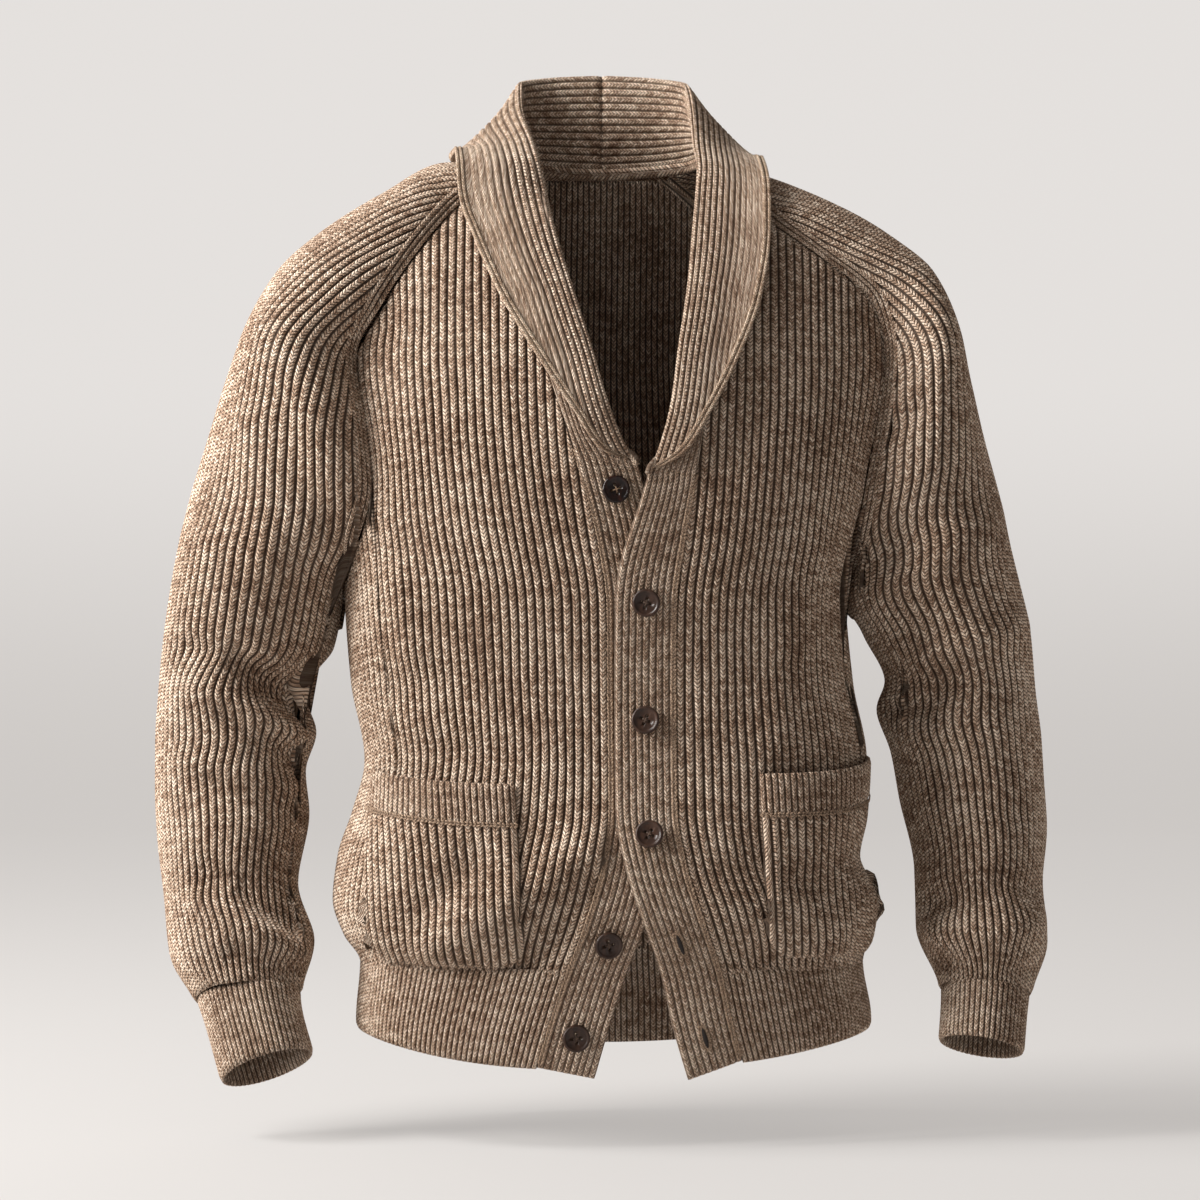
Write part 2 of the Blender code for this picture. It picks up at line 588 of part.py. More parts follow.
def pulled_in(grid, normals, distance, closed):
    """The grid with its edges moved inwards, square to each edge and along the surface."""
    moved = grid.copy()
    edges = [(0, 1, 0), (-1, -2, 0)]
    if not closed:
        edges += [(0, 1, 1), (-1, -2, 1)]
    for edge, inside, axis in edges:
        line = grid[edge] if axis == 0 else grid[:, edge]
        inner = grid[inside] if axis == 0 else grid[:, inside]
        normal = normals[edge] if axis == 0 else normals[:, edge]
        if closed and axis == 0:
            tangent = np.roll(line, -1, axis=0) - np.roll(line, 1, axis=0)
        else:
            tangent = np.gradient(line, axis=0)
        inward = unit(np.cross(normal, unit(tangent)))
        inward *= np.sign(np.sum(inward * (inner - line), axis=1))[:, None]
        if axis == 0:
            moved[edge] += inward * distance
        else:
            moved[:, edge] += inward * distance
    return moved


def material(name):
    if name in bpy.data.materials:
        return bpy.data.materials[name]
    made = bpy.data.materials.new(name)
    made.use_nodes = True
    shader = made.node_tree.nodes["Principled BSDF"]
    shader.inputs["Base Color"].default_value = (*COLOURS[name], 1.0)
    shader.inputs["Roughness"].default_value = 0.35 if name == "button_horn" else 0.92
    shader.inputs["Metallic"].default_value = 0.0
    return made


def add_object(name, verts, faces, slot, collection):
    mesh = bpy.data.meshes.new(name)
    mesh.from_pydata([tuple(v) for v in verts], [], faces)
    mesh.validate()
    mesh.materials.append(material(slot))
    made = bpy.data.objects.new(name, mesh)
    collection.objects.link(made)
    return made


def add_wall(name, grid, collection, thick=WALL, ribs_per_inner=BROAD_RIBS_PER_INNER, closed=False,
             flip=False, holes=(), slot="body_knit", gap=SEAM_GAP, inset=INNER_INSET):
    """A knitted piece: ribs raised in its outer points over a plain inside, closed round its edges.

    The grid has two columns a rib. The inside has one column for each ribs_per_inner ribs.
    """
    stride = 2 * ribs_per_inner
    normals = surface_normals(grid, closed, flip)
    depth = np.where(np.arange(grid.shape[1]) % 2 == 0, RIB_DEPTH, 0.0)
    outer = pulled_in(grid, normals, gap, closed) - normals * depth[None, :, None]
    inner = pulled_in(grid, normals, gap + inset, closed) - normals * thick
    inner = inner[:, ::stride]
    rows, fine = outer.shape[:2]
    coarse = inner.shape[1]
    cells = coarse if closed else coarse - 1
    verts = np.concatenate([outer.reshape(-1, 3), inner.reshape(-1, 3)])
    offset = rows * fine
    faces = []

    def out_id(i, j):
        return i * fine + (j % fine)

    def in_id(i, c):
        return offset + i * coarse + (c % coarse)

    def open_cell(i, c):
        if closed:
            c %= cells
        return 0 <= i < rows - 1 and 0 <= c < cells and (i, c) not in holes

    def rim(outer_chain, inner_pair):
        half = len(outer_chain) // 2
        for m in range(len(outer_chain) - 1):
            near = inner_pair[0] if m < half else inner_pair[1]
            faces.append((outer_chain[m + 1], outer_chain[m], near))
        faces.append((outer_chain[half], inner_pair[0], inner_pair[1]))

    for i in range(rows - 1):
        for c in range(cells):
            if not open_cell(i, c):
                continue
            first = c * stride
            for j in range(first, first + stride):
                faces.append((out_id(i, j), out_id(i, j + 1), out_id(i + 1, j + 1), out_id(i + 1, j)))
            faces.append((in_id(i, c), in_id(i + 1, c), in_id(i + 1, c + 1), in_id(i, c + 1)))
            low = [out_id(i, j) for j in range(first, first + stride + 1)]
            high = [out_id(i + 1, j) for j in range(first, first + stride + 1)]
            if not open_cell(i - 1, c):
                rim(low, (in_id(i, c), in_id(i, c + 1)))
            if not open_cell(i + 1, c):
                rim(high[::-1], (in_id(i + 1, c + 1), in_id(i + 1, c)))
            if not open_cell(i, c - 1):
                faces.append((high[0], in_id(i + 1, c), in_id(i, c), low[0]))
            if not open_cell(i, c + 1):
                faces.append((low[-1], in_id(i, c + 1), in_id(i + 1, c + 1), high[-1]))
    if flip:
        faces = [face[::-1] for face in faces]
    used = sorted({v for face in faces for v in face})
    number = {v: k for k, v in enumerate(used)}
    faces = [tuple(number[v] for v in face) for face in faces]
    return add_object(name, verts[used], faces, slot, collection)


def rib_count(length, pitch, multiple):
    return max(multiple, int(round(length / pitch / multiple)) * multiple)


def front_width(side, z):
    """Width of a front round the body at one level."""
    arc = torso_arc("front", z)
    return abs(torso_length_at_x(arc, side_x("front", side, z))
               - torso_length_at_x(arc, float(front_edge[side](z))))


def make_front(side, collection):
    count = 2 * rib_count(front_width(side, WAIST_Z), RIB_PITCH, BROAD_RIBS_PER_INNER)
    top = front_top(side)
    grid = np.zeros((len(BODY_ROWS), count + 1, 3))
    for j in range(count + 1):
        across = j / count
        for i, z in enumerate(row_levels(top(across))):
            grid[i, j] = front_point(side, across, z)
    return add_wall(f"front_{side}", grid, collection, flip=side == "right")


def make_back(collection):
    count = 2 * rib_count(torso_arc("back", WAIST_Z)[1][-1], RIB_PITCH, BROAD_RIBS_PER_INNER)
    top = back_top()
    grid = np.zeros((len(BODY_ROWS), count + 1, 3))
    for j in range(count + 1):
        across = j / count
        for i, z in enumerate(row_levels(top(across))):
            grid[i, j] = back_point(across, z)
    return add_wall("back", grid, collection, flip=True)


def hem_edge(face, x, side):
    """Height of the hem's lower edge."""
    half = torso_right(HEM_SEAM_Z) if side == "right" else torso_left(HEM_SEAM_Z)
    share = min(1.0, abs(x) / half)
    middle = HEM_BACK_Z if face == "back" else HEM_FRONT_Z
    return middle + (HEM_SIDE_Z - middle) * share ** HEM_CURVE


def make_hem(collection):
    for name, side in (("hem_front_right", "right"), ("hem_front_left", "left"), ("hem_back", None)):
        face = "back" if side is None else "front"
        width = front_width(side, HEM_SEAM_Z) if side else torso_arc(face, HEM_SEAM_Z)[1][-1]
        count = 2 * rib_count(width, FINE_PITCH, BROAD_RIBS_PER_INNER)
        grid = np.zeros((2, count + 1, 3))
        for j in range(count + 1):
            def place(z):
                return front_point(side, j / count, z) if side else back_point(j / count, z)
            seam = place(HEM_SEAM_Z)
            at_side = side or ("right" if seam[0] < 0 else "left")
            grid[:, j] = place(hem_edge(face, seam[0], at_side)), seam
        add_wall(name, grid, collection, flip=side != "left", slot="trim_knit")


def make_sleeve(side, collection):
    sleeve = Sleeve(side)
    count = 2 * rib_count(sum(sleeve.full) * SLEEVE_RIB_SHARE, RIB_PITCH, 2 * SLEEVE_RIBS_PER_INNER)
    even = np.linspace(0, 1, len(SLEEVE_ROWS))
    grid = np.zeros((len(SLEEVE_ROWS), count, 3))
    for j in range(count):
        turn = 2 * j / count - 1
        way = 0 if turn < 0 else 1
        top = sleeve.ends(way, abs(turn))
        long = (top - sleeve.armpit) / (sleeve.end - sleeve.armpit)
        for i, share in enumerate(even + (np.array(SLEEVE_ROWS) - even) * long):
            low = SLEEVE_GAP - SEAM_GAP if i == 0 else 0.0
            grid[i, j] = sleeve.point(way, abs(turn), top * share - low)
    made = add_wall(f"sleeve_{side}", grid, collection, ribs_per_inner=SLEEVE_RIBS_PER_INNER,
                    closed=True, flip=side == "right", gap=SLEEVE_GAP)
    count = 2 * rib_count(sum(sleeve.halves(0.0)), FINE_PITCH, 2 * BROAD_RIBS_PER_INNER)
    grid = np.zeros((2, count, 3))
    for j in range(count):
        turn = 2 * j / count - 1
        for i in range(2):
            grid[i, j] = sleeve.point(0 if turn < 0 else 1, abs(turn), sleeve.knots[0] * (1 - i))
    add_wall(f"cuff_{side}", grid, collection, closed=True, flip=side == "right", slot="trim_knit")
    return made


def make_band(side, collection):
    """A front band. The left one has its buttonholes as cells left open."""
    ribs_per_inner = 3 if side == "right" else 1
    count = 2 * rib_count(BAND_WIDTH, FINE_PITCH, 3)
    levels = band_levels(side)
    holes = []
    if side == "left":
        ends = [z + d for z in BUTTONHOLES_Z for d in (-BUTTONHOLE_LENGTH / 2, BUTTONHOLE_LENGTH / 2)]
        levels = sorted(levels + ends)
        holes = [(levels.index(low) + 1, count // 4) for low in ends[::2]]
    grid = np.zeros((len(levels) + 1, count + 1, 3))
    for j in range(count + 1):
        across = j / count
        for i, z in enumerate([band_end(side, across), *levels]):
            grid[i, j] = band_point(side, across, z)
    add_wall(f"band_{side}", grid, collection, thick=BAND_WALL, ribs_per_inner=ribs_per_inner,
             flip=side == "left", holes=holes, slot="trim_knit", inset=BAND_INSET)


def laid_on(grid, normals, pieces, clearance):
    """The grid moved out where it would come closer than the clearance to the pieces beneath it."""
    trees = [BVHTree.FromPolygons([v.co for v in piece.data.vertices],
                                  [tuple(face.vertices) for face in piece.data.polygons])
             for piece in pieces]
    rows = len(grid)
    fine = np.linspace(0, rows - 1, (rows - 1) * LAY_STEPS + 1)
    low = np.minimum(fine.astype(int), rows - 2)
    share = (fine - low)[:, None, None]
    points = grid[low] * (1 - share) + grid[low + 1] * share
    outward = unit(normals[low] * (1 - share) + normals[low + 1] * share)
    push = np.zeros(points.shape[:2])
    for i, j in np.ndindex(push.shape):
        start = Vector(points[i, j] + outward[i, j] * LAY_REACH)
        for tree in trees:
            distance = tree.ray_cast(start, Vector(-outward[i, j]), LAY_REACH + clearance)[3]
            if distance is not None:
                push[i, j] = max(push[i, j], LAY_REACH + clearance - distance)
    needed = np.array([push[max(0, (i - 1) * LAY_STEPS + 1):(i + 1) * LAY_STEPS].max(axis=0)
                       for i in range(rows)])
    beside = np.pad(needed, ((0, 0), (1, 1)), mode="edge")
    needed = np.maximum(needed, (beside[:, :-2] + beside[:, 2:]) / 2)
    return grid + normals * needed[:, :, None]


def make_collar(side, pieces, collection):
    collar = Collar(side)
    stand = 2 * rib_count(collar.stand, COLLAR_PITCH, FINE_RIBS_PER_INNER)
    fall = 2 * rib_count(collar.width, COLLAR_PITCH, FINE_RIBS_PER_INNER)
    grid = np.zeros((len(COLLAR_ROWS), stand + fall + 1, 3))
    for j in range(stand + fall + 1):
        share = (j - stand) / stand if j < stand else (j - stand) / fall
        for i, along in enumerate(COLLAR_ROWS):
            grid[i, j] = collar.point(share, collar.row(share, along))
    fall_part = grid[:, stand + 2:]
    normals = surface_normals(grid, False, side == "right")[:, stand + 2:]
    grid[:, stand + 2:] = laid_on(fall_part, normals, pieces, COLLAR_WALL + LAY_GAP)
    add_wall(f"collar_{side}", grid, collection, thick=COLLAR_WALL, flip=side == "right",
             ribs_per_inner=FINE_RIBS_PER_INNER, slot="trim_knit")


def pocket_place(side, across, z):
    """Where a pocket's column lies on the front, as a share of the front's width."""
    x_top, x_low, width, mouth_in = POCKETS[side][:4]
    bottom = POCKETS[side][-1]
    arc = torso_arc("front", z)
    height = min(1.0, max(0.0, (z - bottom) / (mouth_in - bottom)))
    start = torso_length_at_x(arc, float(front_edge[side](z)))
    end = torso_length_at_x(arc, side_x("front", side, z))
    near = torso_length_at_x(arc, x_low + (x_top - x_low) * height)
    return (abs(near - start) + across * width) / abs(end - start)


def pocket_point(side, across, z, height, top):
    """A pocket's face: across from the edge near the band; height is 0 at the bottom, 1 at the mouth."""
    width = POCKETS[side][2]

    def on_front(place_across):
        share = pocket_place(side, place_across, z)
        return along_rows(lambda level: front_point(side, share, level), row_levels(top(share)), z)

    point = on_front(across)
    along = unit(on_front(across + BESIDE / width) - point) * SIGN[side]
    outward = np.array([along[1], -along[0], 0.0])
    bulge = POCKET_STAND * math.sin(math.pi * across) ** POCKET_ROUND * height ** POCKET_TAPER
    return point + outward * (WALL + POCKET_LIFT + bulge)


def make_pocket(side, collection):
    width, mouth_in, mouth_out, welt, bottom = POCKETS[side][2:]
    top = front_top(side)
    for name, pitch, rows in (("pocket", RIB_PITCH, 4), ("pocket_welt", FINE_PITCH, 2)):
        count = 2 * rib_count(width, pitch, FINE_RIBS_PER_INNER)
        grid = np.zeros((rows, count + 1, 3))
        for j in range(count + 1):
            across = j / count
            mouth = mouth_in + (mouth_out - mouth_in) * across
            into_corner = max(0.0, POCKET_CORNER - width * min(across, 1 - across)) / POCKET_CORNER
            low = bottom + POCKET_CORNER * (1 - math.sqrt(1 - into_corner ** 2))
            seam = mouth - welt
            kinks = row_levels(top(pocket_place(side, across, (bottom + mouth) / 2)))[1:3]
            kinks = np.minimum(kinks, seam - np.array(POCKET_KINKS))
            for i, z in enumerate((low, *kinks, seam) if name == "pocket" else (seam, mouth)):
                height = min(1.0, max(0.0, (z - bottom) / (mouth - bottom)))
                grid[i, j] = pocket_point(side, across, z, height, top)
        add_wall(f"{name}_{side}", grid, collection, ribs_per_inner=FINE_RIBS_PER_INNER,
                 flip=side == "right", gap=POCKET_GAP, inset=POCKET_INSET,
                 slot="trim_knit" if name == "pocket_welt" else "body_knit")


def make_button(name, side, z, collection):
    """A turned button with a raised rim, facing out from the band it lies on."""
    def on_band(over, up):
        return band_point(side, 0.5 + over / BAND_WIDTH, z + up)

    centre = on_band(0.0, 0.0)
    over = unit(on_band(BESIDE, 0.0) - on_band(-BESIDE, 0.0))
    up = unit(on_band(0.0, BESIDE) - on_band(0.0, -BESIDE))
    out = unit(np.cross(up, over))
    if out[1] > 0:
        out = -out
    around = [on_band(math.cos(a) * BUTTON_RADIUS, math.sin(a) * BUTTON_RADIUS)
              for a in np.linspace(0, 2 * math.pi, 2 * BUTTON_SIDES)]
    seat = BUTTON_SEAT + max(float(np.dot(point - centre, out)) for point in around)
    over = unit(np.cross(up, out))
    verts, faces = [], []
    for r, h in BUTTON_PROFILE:
        for s in range(1 if r == 0 else BUTTON_SIDES):
            angle = 2 * math.pi * s / BUTTON_SIDES
            ring = over * math.cos(angle) + up * math.sin(angle)
            verts.append(centre + ring * r * BUTTON_RADIUS + out * (seat + h * BUTTON_THICK))
    rings = len(BUTTON_PROFILE) - 2
    for s in range(BUTTON_SIDES):
        after = (s + 1) % BUTTON_SIDES
        faces.append((0, 1 + after, 1 + s))
        for k in range(rings - 1):
            low, high = 1 + k * BUTTON_SIDES, 1 + (k + 1) * BUTTON_SIDES
            faces.append((low + s, low + after, high + after, high + s))
        last = 1 + (rings - 1) * BUTTON_SIDES
        faces.append((last + s, last + after, len(verts) - 1))
    add_object(name, verts, faces, "button_horn", collection)


def main():
    for old in list(bpy.data.objects):
        bpy.data.objects.remove(old, do_unlink=True)
    collection = bpy.data.collections.new("shawl_collar_cardigan")
    bpy.context.scene.collection.children.link(collection)
    back = make_back(collection)
    make_hem(collection)
    for side in ("right", "left"):
        front = make_front(side, collection)
        sleeve = make_sleeve(side, collection)
        make_band(side, collection)
        make_collar(side, (back, front, sleeve), collection)
        make_pocket(side, collection)
    for name, side, z in BUTTONS:
        make_button(name, side, z, collection)


main()
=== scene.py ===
"""Shawl collar cardigan in marled wool: ribbed knitted panels, trims, linking stitches and buttons."""
import json
import math

import bmesh
import bpy
import numpy as np
from mathutils import Matrix, Vector
from mathutils.bvhtree import BVHTree

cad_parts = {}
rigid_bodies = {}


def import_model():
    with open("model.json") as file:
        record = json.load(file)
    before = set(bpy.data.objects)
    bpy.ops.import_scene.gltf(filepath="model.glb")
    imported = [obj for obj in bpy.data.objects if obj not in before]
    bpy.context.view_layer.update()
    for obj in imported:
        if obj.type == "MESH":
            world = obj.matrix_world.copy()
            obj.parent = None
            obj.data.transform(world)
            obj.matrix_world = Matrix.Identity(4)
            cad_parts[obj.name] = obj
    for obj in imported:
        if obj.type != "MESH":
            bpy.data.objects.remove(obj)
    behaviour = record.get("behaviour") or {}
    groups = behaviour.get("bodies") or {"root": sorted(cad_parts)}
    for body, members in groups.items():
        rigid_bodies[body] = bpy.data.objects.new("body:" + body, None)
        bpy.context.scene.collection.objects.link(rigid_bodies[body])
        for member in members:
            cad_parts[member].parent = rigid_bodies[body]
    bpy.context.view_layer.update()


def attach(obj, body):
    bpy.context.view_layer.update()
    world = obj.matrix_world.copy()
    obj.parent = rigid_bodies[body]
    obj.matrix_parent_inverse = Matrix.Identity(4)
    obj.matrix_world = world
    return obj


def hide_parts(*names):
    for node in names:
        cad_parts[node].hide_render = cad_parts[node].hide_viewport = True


for leftover in list(bpy.context.scene.objects):
    bpy.data.objects.remove(leftover)
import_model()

# --- Camera -----------------------------------------------------------------------------------------

camera_data = bpy.data.cameras.new("camera")
camera_data.sensor_width = 36.0
camera_data.lens = 115.4
camera = bpy.data.objects.new("camera", camera_data)
camera.location = (-0.0016, -3.08, -0.336)
camera.rotation_euler = (math.pi / 2, 0.0, 0.0)
bpy.context.scene.collection.objects.link(camera)
bpy.context.scene.camera = camera

# --- Sizes ------------------------------------------------------------------------------------------

WALL = 0.0036             # knitted cloth, from a rib's crest to the inside
RIB_PITCH = 0.0066        # broad rib of the body, sleeves and pockets
FINE_PITCH = 0.0047       # finer rib of the hem, cuffs and welts
COLLAR_PITCH = 0.0046
RIB_DEPTH = 0.0022
TRIM_DEPTH = 0.0015       # of the cuffs' and hems' ribs
COURSE = 0.0044           # height of a mesh row: two courses of stitches

HEM_SEAM_Z = -0.617
CORNER_Z = -0.150
BREAK_Z = {"right": -0.2340, "left": -0.2435}
SIDE_POWER = 0.80
ARMPIT_Z = -0.330
FRONT_NECK_Z = -0.012

# The body's outline: height, half width on the wearer's right and left, y of middle, front and back
TORSO = (
    (-0.725, 0.1840, 0.2030, -0.080, -0.198, 0.026),
    (-0.660, 0.1914, 0.2094, -0.080, -0.203, 0.030),
    (-0.616, 0.1882, 0.2030, -0.080, -0.203, 0.030),
    (-0.595, 0.2010, 0.2094, -0.080, -0.208, 0.034),
    (-0.568, 0.2095, 0.2145, -0.080, -0.212, 0.036),
    (-0.533, 0.2055, 0.1965, -0.080, -0.211, 0.034),
    (-0.500, 0.1945, 0.2035, -0.080, -0.205, 0.029),
    (-0.460, 0.1848, 0.2060, -0.080, -0.198, 0.024),
    (-0.400, 0.1955, 0.1955, -0.078, -0.193, 0.022),
    (-0.330, 0.2008, 0.1900, -0.075, -0.198, 0.033),
    (-0.250, 0.2030, 0.2160, -0.070, -0.199, 0.045),
    (-0.150, 0.2030, 0.2340, -0.063, -0.181, 0.046),
    (-0.080, 0.2000, 0.2300, -0.055, -0.150, 0.032),
    (-0.030, 0.1950, 0.2200, -0.048, -0.117, 0.012),
    (0.000, 0.1900, 0.2100, -0.045, -0.092, 0.000),
)

# Seam of each front to its band and collar: height, x on the wearer's right and left
FRONT_EDGE = (
    (-0.700, -0.0530, 0.1110),
    (-0.655, -0.0400, 0.0985),
    (-0.617, -0.0275, 0.0900),
    (-0.576, -0.0120, 0.0764),
    (-0.536, -0.0007, 0.0637),
    (-0.492, 0.0050, 0.0562),
    (-0.400, 0.0040, 0.0555),
    (-0.340, 0.0035, 0.0560),
    (-0.290, -0.0037, 0.0625),
    (-0.232, -0.0190, 0.0727),
    (-0.163, -0.0410, 0.0800),
    (-0.100, -0.0600, 0.0850),
    (-0.050, -0.0730, 0.0885),
    (-0.012, -0.0800, 0.0900),
)

# Raglan seams from armpit to neck: height, distance out from the middle plane
FRONT_RAGLAN = {
    "right": ((-0.330, 0.2008), (-0.240, 0.1745), (-0.150, 0.1885), (-0.118, 0.1733), (-0.090, 0.1565),
              (-0.053, 0.1296), (-0.028, 0.1080), (-0.012, 0.0800)),
    "left": ((-0.330, 0.1900), (-0.240, 0.2030), (-0.150, 0.2178), (-0.112, 0.2107), (-0.084, 0.1830),
             (-0.053, 0.1400), (-0.028, 0.1120), (-0.012, 0.0900)),
}
BACK_RAGLAN = {
    "right": ((-0.330, 0.2008), (-0.240, 0.1820), (-0.150, 0.1720), (-0.105, 0.1450), (-0.065, 0.1160),
              (-0.035, 0.0900), (-0.012, 0.0660), (0.000, 0.0510)),
    "left": ((-0.330, 0.1900), (-0.240, 0.1820), (-0.150, 0.1720), (-0.105, 0.1450), (-0.065, 0.1160),
             (-0.035, 0.0900), (-0.012, 0.0660), (0.000, 0.0510)),
}

# Sleeve rings from the cuff's end up to the armpit: distance out and height of the underarm line,
# distance out and height of the outer line, y of the middle, half depth, lean forward in degrees
SLEEVE_RINGS = {
    "right": (
        (0.2180, -0.684, 0.2920, -0.709, -0.140, 0.037, 23),
        (0.2302, -0.635, 0.3140, -0.645, -0.119, 0.040, 22),
        (0.2225, -0.600, 0.3340, -0.612, -0.105, 0.052, 20),
        (0.2365, -0.554, 0.3410, -0.566, -0.086, 0.053, 16),
        (0.2290, -0.503, 0.3480, -0.520, -0.070, 0.058, 12),
        (0.2325, -0.470, 0.3505, -0.485, -0.062, 0.059, 8),
        (0.2245, -0.440, 0.3508, -0.450, -0.058, 0.063, 5),
        (0.2335, -0.408, 0.3485, -0.412, -0.058, 0.064, 3),
        (0.2105, -0.374, 0.3445, -0.372, -0.062, 0.070, 1),
        (0.2008, -0.330, 0.3300, -0.290, -0.075, 0.076, 0),
    ),
    "left": (
        (0.2550, -0.675, 0.3240, -0.687, -0.140, 0.036, 20),
        (0.2590, -0.633, 0.3310, -0.640, -0.119, 0.039, 19),
        (0.2430, -0.588, 0.3445, -0.600, -0.103, 0.052, 17),
        (0.2430, -0.545, 0.3430, -0.560, -0.086, 0.053, 14),
        (0.2325, -0.490, 0.3480, -0.512, -0.069, 0.058, 11),
        (0.2265, -0.455, 0.3465, -0.478, -0.062, 0.060, 8),
        (0.2155, -0.422, 0.3450, -0.446, -0.058, 0.064, 5),
        (0.2220, -0.399, 0.3405, -0.410, -0.058, 0.064, 3),
        (0.2060, -0.366, 0.3365, -0.368, -0.062, 0.070, 1),
        (0.1900, -0.330, 0.3180, -0.290, -0.075, 0.076, 0),
    ),
}
CUFF_SEAM_RING = 1
ARMPIT_RING = 9

# Sleeve arcs over the shoulder: height on the front seam and on the back seam, distance out,
# y and height of the shoulder line, least half depth
SHOULDER_ARCS = {
    "right": (
        (-0.290, -0.290, 0.3215, -0.068, -0.252, 0.080),
        (-0.250, -0.250, 0.3100, -0.062, -0.212, 0.093),
        (-0.200, -0.200, 0.2955, -0.057, -0.166, 0.100),
        (-0.150, -0.150, 0.2780, -0.053, -0.124, 0.098),
        (-0.110, -0.110, 0.2520, -0.051, -0.077, 0.088),
        (-0.075, -0.068, 0.2180, -0.050, -0.046, 0.080),
        (-0.044, -0.036, 0.1680, -0.050, -0.015, 0.070),
        (-0.024, -0.012, 0.1200, -0.049, 0.009, 0.056),
        (-0.012, 0.000, 0.0830, -0.047, 0.009, 0.044),
    ),
    "left": (
        (-0.290, -0.290, 0.3090, -0.068, -0.252, 0.080),
        (-0.250, -0.250, 0.2970, -0.062, -0.212, 0.093),
        (-0.200, -0.200, 0.2820, -0.057, -0.166, 0.100),
        (-0.150, -0.150, 0.2655, -0.052, -0.124, 0.104),
        (-0.107, -0.110, 0.2420, -0.050, -0.077, 0.094),
        (-0.072, -0.068, 0.2150, -0.050, -0.046, 0.080),
        (-0.044, -0.036, 0.1720, -0.050, -0.021, 0.070),
        (-0.024, -0.012, 0.1260, -0.049, -0.002, 0.056),
        (-0.012, 0.000, 0.0900, -0.047, 0.007, 0.044),
    ),
}

# Shawl collar from the break to the neck: height on the seam, x and height of the fold line, x and
# height of the free edge, and how far the free edge's face stands off the front below it
COLLAR = {
    "right": (
        (-0.2335, 0.0270, -0.2340, 0.0255, -0.2330, 0.0000),
        (-0.2160, 0.0175, -0.2190, 0.0000, -0.2230, 0.0095),
        (-0.1850, 0.0054, -0.1890, -0.0200, -0.1950, 0.0115),
        (-0.1450, -0.0080, -0.1430, -0.0440, -0.1590, 0.0120),
        (-0.1000, -0.0220, -0.0980, -0.0765, -0.1050, 0.0130),
        (-0.0500, -0.0360, -0.0500, -0.0985, -0.0560, 0.0140),
        (-0.0140, -0.0440, -0.0130, -0.1110, -0.0180, 0.0160),
    ),
    "left": (
        (-0.2416, 0.0345, -0.2420, 0.0360, -0.2408, 0.0000),
        (-0.2180, 0.0435, -0.2180, 0.0620, -0.2250, 0.0095),
        (-0.1880, 0.0510, -0.1900, 0.0800, -0.1970, 0.0115),
        (-0.1450, 0.0575, -0.1430, 0.1020, -0.1550, 0.0120),
        (-0.1000, 0.0645, -0.0970, 0.1210, -0.1040, 0.0130),
        (-0.0500, 0.0690, -0.0510, 0.1290, -0.0560, 0.0140),
        (-0.0140, 0.0725, -0.0150, 0.1300, -0.0190, 0.0160),
    ),
}
# The collar round the neck to the centre back: seam point, fold line and free edge, each x, y, z
COLLAR_NECK = {
    "right": (
        ((-0.0805, -0.0820, -0.0020), (-0.0470, -0.1080, 0.0010), (-0.1130, -0.1060, 0.0060)),
        ((-0.0795, -0.0640, 0.0065), (-0.0520, -0.0880, 0.0190), (-0.1160, -0.0640, 0.0190)),
        ((-0.0750, -0.0340, 0.0125), (-0.0640, -0.0480, 0.0560), (-0.1220, -0.0180, 0.0160)),
        ((-0.0640, -0.0110, 0.0075), (-0.0650, -0.0190, 0.0760), (-0.1040, 0.0120, 0.0010)),
        ((-0.0370, -0.0036, 0.0030), (-0.0370, -0.0010, 0.0830), (-0.0500, 0.0200, -0.0090)),
        ((0.0, -0.0030, 0.0015), (0.0, 0.0040, 0.0850), (0.0, 0.0220, -0.0100)),
    ),
    "left": (
        ((0.0900, -0.0840, -0.0020), (0.0735, -0.1040, 0.0000), (0.1290, -0.1060, -0.0060)),
        ((0.0885, -0.0640, 0.0065), (0.0715, -0.0850, 0.0180), (0.1260, -0.0640, 0.0120)),
        ((0.0820, -0.0340, 0.0125), (0.0700, -0.0460, 0.0540), (0.1240, -0.0180, 0.0140)),
        ((0.0670, -0.0110, 0.0075), (0.0665, -0.0180, 0.0750), (0.1040, 0.0120, 0.0000)),
        ((0.0370, -0.0036, 0.0030), (0.0375, -0.0010, 0.0825), (0.0500, 0.0200, -0.0090)),
        ((0.0, -0.0030, 0.0015), (0.0, 0.0040, 0.0850), (0.0, 0.0220, -0.0100)),
    ),
}
COLLAR_WALL = 0.0040
COLLAR_SEAM_IN = 0.0008   # the collar's seam lies this far in from the front's edge
COLLAR_SEAM_BACK = 0.0030   # and this far behind it
COLLAR_BREAK_SINK = {"right": 0.0045, "left": -0.0010}   # how far the collar's first rows lie back
COLLAR_RISE_ROWS = 2.0    # over these rows of its table it rises to its full lift
COLLAR_BORDER = 0.0066    # the two chains along the free edge
COLLAR_PLAIN = (0.42, 0.78)   # the fall's ribs die out between these shares of its width
COLLAR_FULL_ROW = 4
COLLAR_EVEN_FROM = 0.46   # from this share of its length on, rows cross the whole collar
COLLAR_RIBS_LEFT = 0.08   # how strongly ribs still show on its plain part
FOLD_PULL = 0.024
FOLD_LIFT = 0.0065
LAY_REACH = 0.020
LAY_GAP = 0.0006

BAND_WALL = 0.0044
BAND_WIDTH = 0.046
BAND_RIBS = 9
BAND_NARROWS = {"right": 0.0, "left": 0.0085}   # how much narrower a band is near the break
TOP_BAND_LIFT = 0.0042
UNDER_BAND_SINK = 0.0052
BAND_UNDER_COLLAR = 0.055   # how far each band runs on under the collar's fall
RISING_LEVELS = 120       # the collar's first levels, on which its seam still rises up the front
BAND_JOIN = 0.022         # over this height below the break it turns from the front to the collar

